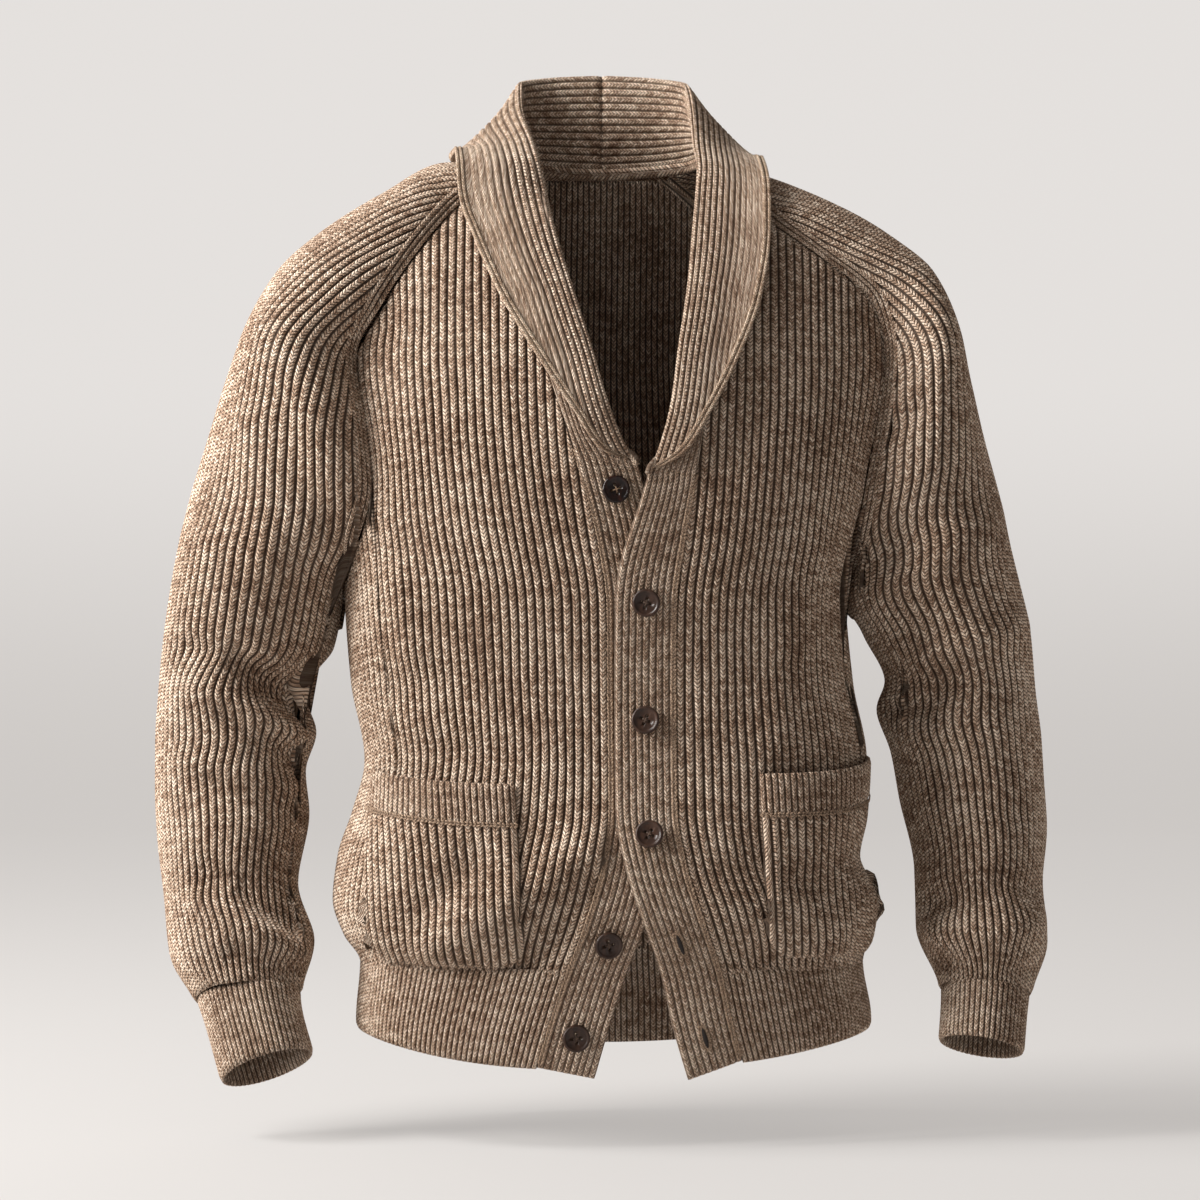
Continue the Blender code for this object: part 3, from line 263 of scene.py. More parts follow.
HEM_BACK_Z = -0.693
HEM_SIDE_Z = -0.666
HEM_FRONT_Z = -0.688
BAND_END_Z = -0.6955

# Patch pockets: x of the edge near the bands at the top and bottom, width round the body,
# heights of the mouth at its inner and outer ends, welt height, bottom
POCKETS = {
    "right": (-0.0640, -0.0560, 0.132, -0.4745, -0.4640, 0.031, -0.6120),
    "left": (0.1160, 0.1250, 0.120, -0.4670, -0.4560, 0.031, -0.6050),
}
POCKET_CORNER = 0.020
POCKET_STAND = 0.0090     # how far the mouth stands off the front
POCKET_PUFF = 0.0016
POCKET_HEIGHT = 0.108
POCKET_EDGE = 0.007       # width along a pocket's sides over which its face sinks to the seam
POCKET_EDGE_SINK = 0.0017
WELT_SAG = 0.004

BUTTON_RADIUS = 0.0105
BUTTON_HOLE = 0.00125     # radius of each of the four holes
BUTTON_HOLE_OUT = 0.0021  # from the middle, both ways
BUTTON_CLEAR = 0.0006     # how far a button's seat lies over the band
BUTTON_SHANK = 0.0004     # and its back over the seat
BUTTON_TILT = {"right": 0.05, "left": -0.22}
THREAD = 0.00028          # radius of the sewing thread
BUTTONS = (
    ("button_1", "right", -0.2530),
    ("button_2", "left", -0.3380),
    ("button_3", "left", -0.4260),
    ("button_4", "left", -0.5110),
    ("button_5", "right", -0.5935),
    ("button_6", "right", -0.6640),
)
BUTTONHOLES = (("buttonhole_5", -0.5935), ("buttonhole_6", -0.6640))
BUTTONHOLE_ACROSS = 0.53  # share of the band's width
BUTTONHOLE_RING = (0.0030, 0.0092)   # half width and half height of the stitched edge
BUTTONHOLE_SLIT = (0.0021, 0.0084, 0.0011)   # half width, half height and half depth of the dark slit, a sheet of painted shadow in the hole
SIGN = {"right": -1.0, "left": 1.0}

# Flat lengths of the knitted pieces, and how much wider a piece is knitted than the arc that it covers
BODY_LEVEL = -0.40        # height at which the body's panels are measured across
FRONT_FLAT, FRONT_EASE = 0.62, 1.04
BACK_FLAT = 0.617
HEM_FLAT = 0.080
CUFF_FLAT = 0.070
COLLAR_FLAT = (0.155, 0.45)
BAND_EASE = 1.1
POCKET_EASE = 1.05

# What each sheet's own unevenness is drawn from
SEEDS = {"front_right": 11, "front_left": 12, "back": 13, "hem": 21, "sleeve_right": 31, "sleeve_left": 32,
         "cuff": 41, "raglan_front": 51, "raglan_back": 52, "raglan_inner": 57, "band_right": 61,
         "band_left": 62, "collar_right": 71, "collar_left": 72, "collar_edge": 81, "pocket": 91,
         "pocket_welt": 95, "neck_tape": 99}

# Soft folds of the body: x and z of both ends, half width, height (troughs are negative)
FRONT_FOLDS = (
    (-0.157, -0.322, -0.145, -0.374, 0.017, 0.0050),
    (-0.160, -0.426, -0.140, -0.428, 0.018, 0.0030),
    (-0.122, -0.448, -0.076, -0.456, 0.011, -0.0022),
    (-0.155, -0.500, -0.136, -0.508, 0.016, 0.0035),
    (-0.130, -0.569, -0.094, -0.530, 0.013, -0.0050),
    (-0.122, -0.594, -0.014, -0.523, 0.018, 0.0065),
    (-0.070, -0.622, -0.004, -0.553, 0.014, -0.0060),
    (-0.176, -0.606, -0.092, -0.622, 0.009, -0.0035),
    (-0.163, -0.112, -0.163, -0.186, 0.010, -0.0025),
    (0.168, -0.305, 0.145, -0.368, 0.018, 0.0050),
    (0.142, -0.396, 0.133, -0.440, 0.018, 0.0028),
    (0.148, -0.549, 0.196, -0.572, 0.012, -0.0050),
    (0.170, -0.592, 0.194, -0.584, 0.013, 0.0035),
    (0.100, -0.600, 0.135, -0.612, 0.012, -0.0030),
)
BACK_FOLDS = (
    (-0.150, -0.330, -0.110, -0.400, 0.020, 0.0050),
    (0.150, -0.330, 0.105, -0.410, 0.020, 0.0050),
    (-0.120, -0.440, 0.020, -0.470, 0.016, -0.0040),
    (0.030, -0.500, 0.140, -0.470, 0.016, -0.0035),
    (-0.140, -0.560, -0.030, -0.530, 0.018, 0.0050),
    (0.040, -0.560, 0.150, -0.585, 0.018, 0.0050),
    (-0.090, -0.606, 0.090, -0.600, 0.012, -0.0035),
)
# Sleeve folds: x and z of both ends on the front, half width, height
SLEEVE_FOLDS = {
    "right": (
        (-0.318, -0.374, -0.283, -0.382, 0.010, -0.0060),
        (-0.283, -0.382, -0.252, -0.405, 0.012, -0.0110),
        (-0.252, -0.405, -0.224, -0.424, 0.012, -0.0090),
        (-0.312, -0.404, -0.271, -0.422, 0.010, 0.0045),
        (-0.271, -0.422, -0.230, -0.444, 0.010, 0.0050),
        (-0.290, -0.424, -0.262, -0.440, 0.009, -0.0050),
        (-0.262, -0.440, -0.232, -0.460, 0.010, -0.0060),
        (-0.324, -0.459, -0.240, -0.482, 0.012, 0.0035),
        (-0.300, -0.478, -0.236, -0.500, 0.010, -0.0035),
        (-0.305, -0.544, -0.275, -0.555, 0.010, -0.0060),
        (-0.275, -0.555, -0.232, -0.586, 0.011, -0.0085),
        (-0.309, -0.567, -0.262, -0.586, 0.010, 0.0045),
        (-0.262, -0.586, -0.228, -0.604, 0.010, 0.0045),
        (-0.279, -0.604, -0.232, -0.624, 0.009, -0.0060),
        (-0.317, -0.616, -0.279, -0.630, 0.009, 0.0030),
        (-0.244, -0.182, -0.232, -0.244, 0.014, -0.0040),
        (-0.232, -0.244, -0.209, -0.274, 0.014, -0.0040),
        (-0.271, -0.205, -0.256, -0.305, 0.016, 0.0035),
    ),
    "left": (
        (0.218, -0.424, 0.249, -0.417, 0.011, -0.0095),
        (0.249, -0.417, 0.270, -0.398, 0.011, -0.0060),
        (0.249, -0.382, 0.287, -0.367, 0.012, 0.0045),
        (0.287, -0.367, 0.330, -0.355, 0.012, 0.0045),
        (0.245, -0.444, 0.306, -0.440, 0.012, 0.0035),
        (0.229, -0.467, 0.249, -0.528, 0.012, -0.0015),
        (0.262, -0.480, 0.320, -0.500, 0.011, -0.0030),
        (0.252, -0.567, 0.306, -0.552, 0.011, -0.0060),
        (0.306, -0.552, 0.340, -0.560, 0.010, -0.0050),
        (0.252, -0.592, 0.341, -0.583, 0.011, 0.0045),
        (0.258, -0.616, 0.332, -0.622, 0.009, -0.0040),
        (0.220, -0.205, 0.241, -0.190, 0.009, -0.0040),
        (0.225, -0.290, 0.250, -0.350, 0.014, -0.0040),
    ),
}
BACK_FOLD_UP = 0.012      # the same folds, behind the sleeve, lie this much higher
BACK_FOLD_SHARE = 0.8     # and are this much weaker
SLEEVE_FOLD_FADE = 0.6    # a sleeve's folds fade where it faces the front or the back less than this


# --- Forms ------------------------------------------------------------------------------------------

def curve(xs, ys):
    """A smooth function through a table's points that never overshoots them."""
    xs, ys = np.array(xs, float), np.array(ys, float)
    step = np.diff(xs)
    slope = np.diff(ys) / step
    tangent = np.zeros_like(ys)
    w1, w2 = 2 * step[1:] + step[:-1], step[1:] + 2 * step[:-1]
    for i in range(len(slope) - 1):
        if slope[i] * slope[i + 1] > 0:
            tangent[i + 1] = (w1[i] + w2[i]) / (w1[i] / slope[i] + w2[i] / slope[i + 1])
    tangent[0], tangent[-1] = slope[0], slope[-1]

    def at(x):
        x = np.clip(x, xs[0], xs[-1])
        i = np.clip(np.searchsorted(xs, x) - 1, 0, len(step) - 1)
        u = (x - xs[i]) / step[i]
        return (ys[i] * (1 + 2 * u) * (1 - u) ** 2 + tangent[i] * step[i] * u * (1 - u) ** 2
                + ys[i + 1] * u * u * (3 - 2 * u) + tangent[i + 1] * step[i] * u * u * (u - 1))
    return at


def columns(table):
    rows = np.array(table, float)
    return [curve(rows[:, 0], rows[:, k]) for k in range(1, rows.shape[1])]


def unit(vectors):
    return vectors / np.maximum(np.linalg.norm(vectors, axis=-1, keepdims=True), 1e-12)


def smooth(x):
    x = np.clip(x, 0.0, 1.0)
    return x * x * (3 - 2 * x)


torso_right, torso_left, torso_middle, torso_front, torso_back = columns(TORSO)
edge_right, edge_left = columns(FRONT_EDGE)
front_edge = {"right": edge_right, "left": edge_left}
front_raglan = {side: columns(FRONT_RAGLAN[side])[0] for side in FRONT_RAGLAN}
back_raglan = {side: columns(BACK_RAGLAN[side])[0] for side in BACK_RAGLAN}


def torso_arc(face, z):
    """The body's outline at one level, from the wearer's right side to the left, and its lengths."""
    angle = np.linspace(-math.pi / 2, math.pi / 2, 321)
    half = np.where(angle < 0, torso_right(z), torso_left(z))
    depth = (torso_front(z) if face == "front" else torso_back(z)) - torso_middle(z)
    x = half * np.sign(angle) * np.abs(np.sin(angle)) ** SIDE_POWER
    y = torso_middle(z) + depth * np.maximum(np.cos(angle), 0) ** SIDE_POWER
    points = np.stack([x, y, np.full_like(x, z)], axis=1)
    return points, run_lengths(points)


def run_lengths(points):
    return np.concatenate([[0], np.cumsum(np.linalg.norm(np.diff(points, axis=0), axis=1))])


def at_lengths(run, lengths):
    points, known = run
    return np.stack([np.interp(lengths, known, points[:, k]) for k in range(3)], axis=-1)


def length_at_x(run, x):
    points, lengths = run
    return float(np.interp(x, points[:, 0], lengths))


def torso_at_x(face, x, z):
    arc = torso_arc(face, z)
    return at_lengths(arc, length_at_x(arc, x))


def side_x(face, side, z):
    half = torso_right(z) if side == "right" else torso_left(z)
    if z <= ARMPIT_Z:
        return SIGN[side] * half
    raglan = front_raglan[side] if face == "front" else back_raglan[side]
    return SIGN[side] * float(raglan(min(z, CORNER_Z)))


class Lattice:
    """A smooth surface kept as a grid of points, read anywhere between them."""

    def __init__(self, us, vs, points):
        self.us, self.vs, self.points = np.array(us), np.array(vs), points

    def at(self, u, v):
        u, v = np.broadcast_arrays(u, v)
        i = np.clip(np.searchsorted(self.vs, v) - 1, 0, len(self.vs) - 2)
        j = np.clip(np.searchsorted(self.us, u) - 1, 0, len(self.us) - 2)
        a = np.clip((v - self.vs[i]) / (self.vs[i + 1] - self.vs[i]), 0, 1)[..., None]
        b = np.clip((u - self.us[j]) / (self.us[j + 1] - self.us[j]), 0, 1)[..., None]
        p = self.points
        return ((p[i, j] * (1 - b) + p[i, j + 1] * b) * (1 - a)
                + (p[i + 1, j] * (1 - b) + p[i + 1, j + 1] * b) * a)


BODY_LEVELS = np.linspace(-0.705, 0.0, 190)
ACROSS = np.linspace(0.0, 1.0, 161)
FRONT_ACROSS = np.linspace(-0.1, 1.15, 201)
LEAST_FALL = 1e-6         # keeps a run of cuts falling at every step, so that it can be read both ways
SEAM_UNDER = 0.004        # how far cuffs and hems run on up inside the cloth above
SEAM_SINK = 0.0018        # how deep they lie there
SEAM_FOLLOW = 0.028       # how far in from a seam the ribs bend with it
BREAK_EASE = 0.060        # over this height the ribs turn from the band's slope to upright


def front_width(arc, side, z):
    """Length along a level's arc from a front's edge to its side, negative on the wearer's right."""
    return length_at_x(arc, side_x("front", side, z)) - length_at_x(arc, float(front_edge[side](z)))


def front_span(side, z):
    """A level's arc, where a front's first rib would run on it, and how wide its ribs lie there."""
    arc = torso_arc("front", z)
    ease_from = BREAK_Z[side] - BREAK_EASE
    eased = z
    if z >= ease_from:
        eased = ease_from + BREAK_EASE * (1 - math.exp((ease_from - z) / BREAK_EASE))
    start = length_at_x(arc, float(front_edge[side](eased)))
    if z <= ARMPIT_Z:
        return arc, start, length_at_x(arc, side_x("front", side, z)) - start
    return arc, start, front_width(torso_arc("front", ARMPIT_Z), side, ARMPIT_Z)


def steady(values):
    """The nearest run of values that only falls."""
    return (np.minimum.accumulate(values) + np.maximum.accumulate(values[::-1])[::-1]) / 2


class FrontRibs:
    """A front panel: ribs of even width that stop where the raglan or the collar seam crosses them."""

    def __init__(self, side):
        self.levels = np.linspace(BODY_LEVELS[0], FRONT_NECK_Z, 260)
        seam, edge, rows, widths = [], [], [], []
        for z in self.levels:
            arc, start, width = front_span(side, z)
            raglan = side_x("front", side, z)
            if z > CORNER_Z:
                raglan = SIGN[side] * float(front_raglan[side](z))
            seam.append((length_at_x(arc, raglan) - start) / width)
            edge.append((length_at_x(arc, float(front_edge[side](z))) - start) / width)
            rows.append(at_lengths(arc, start + width * FRONT_ACROSS))
            widths.append(abs(width))
        self.surface = Lattice(FRONT_ACROSS, self.levels, np.array(rows))
        seam, edge, self.widths = np.array(seam), np.array(edge), np.array(widths)
        slope = LEAST_FALL * np.arange(len(seam))[::-1]
        self.seam_cut, self.edge_cut = steady(seam) + slope, -steady(-edge) - slope
        self.seam_off, self.edge_off = seam - self.seam_cut, edge - self.edge_cut

    def tops(self, across):
        """Height at which each rib stops."""
        over = np.interp(-across, -self.seam_cut, self.levels)
        under = np.interp(across, self.edge_cut, self.levels)
        return np.minimum(over, under)

    def at(self, across, z):
        """Points at a rib's place across and a height; near the seams the ribs follow them."""
        def found(values):
            return np.interp(z, self.levels, values)

        reach = found(self.widths) / SEAM_FOLLOW
        near_seam = found(self.seam_off) * np.exp(-np.abs(found(self.seam_cut) - across) * reach)
        near_edge = found(self.edge_off) * np.exp(-np.abs(across - found(self.edge_cut)) * reach)
        return self.surface.at(across + near_seam + near_edge, z)


def back_lattice():
    rows = []
    for z in BODY_LEVELS:
        arc = torso_arc("back", z)
        start = length_at_x(arc, side_x("back", "right", z))
        end = length_at_x(arc, side_x("back", "left", z))
        rows.append(at_lengths(arc, start + (end - start) * ACROSS))
    return Lattice(ACROSS, BODY_LEVELS, np.array(rows))


front_surface = {side: FrontRibs(side) for side in SIGN}
back_surface = back_lattice()


def back_tops():
    levels = np.linspace(CORNER_Z, 0.0, 90)
    found = {"right": [], "left": []}
    for z in levels:
        arc = torso_arc("back", z)
        start = length_at_x(arc, side_x("back", "right", z))
        end = length_at_x(arc, side_x("back", "left", z))
        for side in found:
            seam = length_at_x(arc, SIGN[side] * float(back_raglan[side](z)))
            found[side].append((seam - start) / (end - start))
    across = np.maximum.accumulate(np.array(found["right"] + found["left"][::-1]))
    heights = np.concatenate([levels, levels[::-1]])
    return lambda p: np.interp(p, across, heights)


class Sleeve:
    """One sleeve: rings round the arm, then arcs from the front raglan seam over to the back one."""

    def __init__(self, side):
        sign = SIGN[side]
        rows = []
        for out_in, z_in, out, z_out, y, half_depth, lean in SLEEVE_RINGS[side]:
            under = (sign * out_in, y, z_in)
            rows.append([*under, *under, sign * out, y, z_out, half_depth, math.radians(lean)])
        for z_front, z_back, out, y, z_top, half_depth in SHOULDER_ARCS[side]:
            start = torso_at_x("front", sign * float(front_raglan[side](z_front)), z_front)
            end = torso_at_x("back", sign * float(back_raglan[side](z_back)), z_back)
            rows.append([*start, *end, sign * out, y, z_top, half_depth, 0.0])
        rows = np.array(rows)
        self.knots = run_lengths(rows[:, 6:9])
        self.knots -= self.knots[CUFF_SEAM_RING]
        self.values = [curve(self.knots, rows[:, k]) for k in range(rows.shape[1])]
        self.armpit, self.end = self.knots[ARMPIT_RING], self.knots[-1]
        self.levels = np.linspace(self.knots[0], self.end, 230)
        share = np.linspace(0, 1, 81)
        grids, lengths = ([], []), ([], [])
        for t in self.levels:
            for way, run in enumerate(self.section(t)):
                grids[way].append(at_lengths(run, share * run[1][-1]))
                lengths[way].append(run[1][-1])
        self.halves = [Lattice(share, self.levels, np.array(grid)) for grid in grids]
        self.lengths = [np.array(found) for found in lengths]
        self.full = [float(np.interp(self.armpit, self.levels, found)) for found in self.lengths]
        upper = self.levels >= self.armpit
        self.upper = self.levels[upper]
        self.reach = [np.minimum.accumulate(found[upper]) for found in self.lengths]

    def section(self, t):
        value = [float(f(t)) for f in self.values]
        front, back, top = np.array(value[0:3]), np.array(value[3:6]), np.array(value[6:9])
        half_gap = np.linalg.norm(front - back) / 2
        ahead = np.array([0.0, -math.cos(value[10]), math.sin(value[10])])
        if half_gap > 1e-4:
            share = min(1.0, half_gap / 0.03)
            ahead = unit(ahead * (1 - share) + unit(front - back) * share)
        depth = max(value[9], half_gap * 1.0005)
        end_angle = math.pi - math.asin(min(1.0, half_gap / depth))
        out = (top - (front + back) / 2) / (1 - math.cos(end_angle))
        halves = []
        for way, target in ((1, front), (-1, back)):
            angle = np.linspace(0, end_angle, 161)
            points = (top - out + np.outer(np.cos(angle), out)
                      + way * np.outer(np.sin(angle), ahead) * depth)
            points += np.outer(angle / end_angle, target - points[-1])
            halves.append((points, run_lengths(points)))
        return halves

    def ends(self, way, share):
        return np.interp(-share * self.full[way], -self.reach[way], self.upper)

    def at(self, way, share, t):
        """Points at shares of the half way round, and how far they lie from the seam."""
        length = np.interp(t, self.levels, self.lengths[way])
        lower = t <= self.armpit
        placed = np.where(lower, share * length, np.minimum(share * self.full[way], length))
        distance = np.where(lower, 1.0, length - placed)
        return self.halves[way].at(placed / length, t), distance

    def beside_seam(self, way, distance, t):
        """Points at a distance in from the raglan seam."""
        length = np.interp(t, self.levels, self.lengths[way])
        return self.halves[way].at(1 - distance / length, t)


def hermite(start, end, start_pull, end_pull, count):
    u = np.linspace(0, 1, count)[:, None]
    return (start * (1 + 2 * u) * (1 - u) ** 2 + start_pull * u * (1 - u) ** 2
            + end * u * u * (3 - 2 * u) + end_pull * u * u * (u - 1))


class Collar:
    """Half of the shawl collar: a strip from the seam up to its fold and over to its free edge."""

    def __init__(self, side):
        rows = []
        way = 1.0 if side == "right" else -1.0
        for number, (seam_z, fold_x, fold_z, edge_x, edge_z, lift) in enumerate(COLLAR[side]):
            seam = torso_at_x("front", float(front_edge[side](seam_z)), seam_z)
            seam = seam + np.array([way * COLLAR_SEAM_IN, COLLAR_SEAM_BACK, 0.0])
            fold = torso_at_x("front", fold_x, fold_z)
            edge = torso_at_x("front", edge_x, edge_z)
            rise = min(1.0, number / COLLAR_RISE_ROWS)
            sink = COLLAR_BREAK_SINK[side]
            fold = fold + np.array([0, sink * (1 - rise) - FOLD_LIFT * rise, 0])
            edge = edge + np.array([0, sink * (1 - rise) - lift, 0])
            rows.append([*seam, *fold, *edge])
        rows += [[*seam, *fold, *edge] for seam, fold, edge in COLLAR_NECK[side]]
        rows = np.array(rows)
        self.knots = run_lengths(rows[:, 3:6])
        self.end = self.knots[-1]
        self.values = [curve(self.knots, rows[:, k]) for k in range(9)]
        self.full = self.knots[COLLAR_FULL_ROW]
        self.levels = np.linspace(0, self.end, 200)
        share = np.linspace(0, 1, 61)
        grids, lengths = ([], []), ([], [])
        for t in self.levels:
            for part, run in enumerate(self.section(t)):
                grids[part].append(at_lengths(run, share * run[1][-1]))
                lengths[part].append(run[1][-1])
        self.parts = [Lattice(share, self.levels, np.array(grid)) for grid in grids]
        self.lengths = [np.array(found) for found in lengths]
        self.width = float(np.interp(self.full, self.levels, self.lengths[1]))
        self.stand = self.lengths[0][-1]
        below = self.levels <= self.full
        self.starts = (np.maximum.accumulate(self.lengths[1][below]), self.levels[below])

    def section(self, t):
        value = np.array([float(f(t)) for f in self.values])
        seam, fold, edge = value[0:3], value[3:6], value[6:9]
        over = unit(unit(edge - fold) - unit(seam - fold))
        runs = []
        for target, way in ((seam, -1.0), (edge, 1.0)):
            pull = min(FOLD_PULL, 0.8 * np.linalg.norm(target - fold))
            points = hermite(fold, target, over * way * pull, (target - fold) * 0.9, 61)
            runs.append((points, run_lengths(points)))
        return runs

    def row(self, across, along):
        """How far along the collar each row crosses each rib. The fall's ribs start at the free edge."""
        start = np.where(across > 0, np.interp(across * self.width, *self.starts), 0.0)
        even = COLLAR_EVEN_FROM * self.end
        low = start + (even - start) * along / COLLAR_EVEN_FROM
        high = even + (self.end - even) * (along - COLLAR_EVEN_FROM) / (1 - COLLAR_EVEN_FROM)
        return np.where(along <= COLLAR_EVEN_FROM, low, high)

    def at(self, across, t):
        """-1 is the seam, 0 the fold and 1 the free edge at the back of the neck."""
        stand = self.parts[0].at(np.abs(across), t)
        length = np.interp(t, self.levels, self.lengths[1])
        even = np.abs(across)
        ribbed = np.minimum(np.abs(across) * self.width / length, 1.0)
        fall = self.parts[1].at(np.where(t >= self.full, even, ribbed), t)
        return np.where((across < 0)[..., None], stand, fall)


# --- Knitted sheets ---------------------------------------------------------------------------------

RIB_COLUMNS = (0.0, 0.145, 0.27, 0.50, 0.73, 0.855)   # places across one rib, from groove to groove
RIB_HEIGHTS = (-1.0, -0.66, -0.02, -0.15, -0.02, -0.66)   # in rib depths
SHEET_EDGE_HEIGHT = -0.55   # of the two outermost columns on each side, in rib depths
RIB_UNEVEN = 0.18         # share of a rib's height
PLAIN_SINK = 0.3          # how far a part without ribs lies below their crests, in rib depths
INSIDE_RIBS = (-0.0004, 0.0003)   # added to the wall's thickness in the outside's grooves and between them
ROUND_OUT, ROUND_IN = 0.30, 0.25   # how far the first and last rows are drawn in, in wall thicknesses
INSIDE_MAP = 1000.0       # added to the rib number on inside faces
INNER_STEP = 3            # an inside column for every third outside
FOLD_FADE = 1.6           # how fast the body's folds die out towards its sides


def directions(points, flip, closed=False):
    """Outward directions of a grid of points."""
    along = np.gradient(points, axis=0)
    across = np.gradient(points, axis=1)
    if closed:
        ring = points[:, 1] - points[:, -2]
        across[:, 0] = across[:, -1] = ring / 2
    normals = unit(np.cross(across, along))
    return -normals if flip else normals


def fold_heights(points, folds):
    """How far soft folds lift or sink a surface at each point, by x and z."""
    ridge, trough = np.zeros(points.shape[:-1]), np.zeros(points.shape[:-1])
    spot = points[..., [0, 2]]
    for x0, z0, x1, z1, width, lift in folds:
        start, run = np.array([x0, z0]), np.array([x1 - x0, z1 - z0])
        share = np.clip(((spot - start) @ run) / (run @ run), 0, 1)
        away = np.linalg.norm(spot - start - share[..., None] * run, axis=-1)
        found = lift * np.exp(-(away / width) ** 2)
        ridge, trough = np.maximum(ridge, found), np.minimum(trough, found)
    return ridge + trough


def wander(shape, seed, rows_per_wave, columns_per_wave):
    """Slow random drift over a grid, about one unit high."""
    rng = np.random.default_rng(seed)
    rows = max(2, int(shape[0] / rows_per_wave)) + 2
    cols = max(2, int(shape[1] / columns_per_wave)) + 2
    knots = rng.normal(size=(rows, cols))
    lattice = Lattice(np.linspace(0, 1, cols), np.linspace(0, 1, rows), knots[..., None])
    u = np.linspace(0, 1, shape[1])[None, :]
    v = np.linspace(0, 1, shape[0])[:, None]
    return lattice.at(u, v)[..., 0]


def rib_courses(points, numbers):
    """Metres knitted up each rib, measured along its middle."""
    steps = np.linalg.norm(np.diff(points, axis=0), axis=-1)
    length = np.concatenate([np.zeros((1, points.shape[1])), np.cumsum(steps, axis=0)])
    middle = np.minimum(np.floor(numbers), np.floor(numbers[-1]) - 1) + 0.5
    nearest = np.abs(numbers[:, None] - middle[None, :]).argmin(axis=0)
    up = unit(np.gradient(points, axis=0))[:, nearest]
    return length[:, nearest] + np.sum((points - points[:, nearest]) * up, axis=-1)


def knit_sheet(name, place, ribs, rows, seed, thick=WALL, depth=RIB_DEPTH, closed=False, flip=False,
               folds=None, wobble=0.05, shares=None, ribbing=None):
    """A ribbed wall. place(across, along) gives the points, how deep they are sunk and, in its first row,
    at what length the knitting starts. ribbing(across, along) is how strongly ribs show, from 0 to 1."""
    numbers = (np.arange(ribs)[:, None] + np.array(RIB_COLUMNS)[None, :]).reshape(-1)
    numbers = np.concatenate([numbers, [ribs]])
    heights = np.concatenate([np.tile(RIB_HEIGHTS, ribs), [RIB_HEIGHTS[0]]])
    if not closed:
        heights[:2] = heights[-2:] = SHEET_EDGE_HEIGHT
    along = np.linspace(0, 1, rows)[:, None]
    across = np.broadcast_to(numbers[None, :] / ribs, (rows, len(numbers))).copy()
    if shares is not None:
        across = shares(across)
    drift = wander(across.shape, seed, 9, 24) * wobble / ribs
    fade = 1.0 if closed else np.minimum(1.0, np.minimum(across, 1 - across) * ribs / 2)
    if closed:
        drift[:, -1] = drift[:, 0]
    across = across + drift * fade
    along = np.broadcast_to(along, across.shape)
    points, sink, start = place(across, along)
    strength = np.ones(across.shape) if ribbing is None else ribbing(across, along)
    cut_area(points)
    course = start[:1] + rib_courses(points, numbers)
    normals = directions(points, flip, closed)
    if folds is not None:
        points = points + normals * folds(points, normals)[..., None]
        normals = directions(points, flip, closed)
    lift = heights[None, :] * depth * (1 + RIB_UNEVEN * wander(across.shape, seed + 1, 7, 7))
    lift = lift * strength - PLAIN_SINK * depth * (1 - strength) - sink
    outer = points + normals * lift[..., None]
    under = np.where(np.arange(len(numbers)) % len(RIB_COLUMNS) == 0, *INSIDE_RIBS)[None, :]
    inner = points - normals * (thick + sink + under)[..., None]
    for row in (0, -1):
        outer[row] -= normals[row] * thick * ROUND_OUT
        inner[row] += normals[row] * thick * ROUND_IN
    return wall_mesh(name, outer, inner[:, ::INNER_STEP], numbers, course, strength, closed, flip)


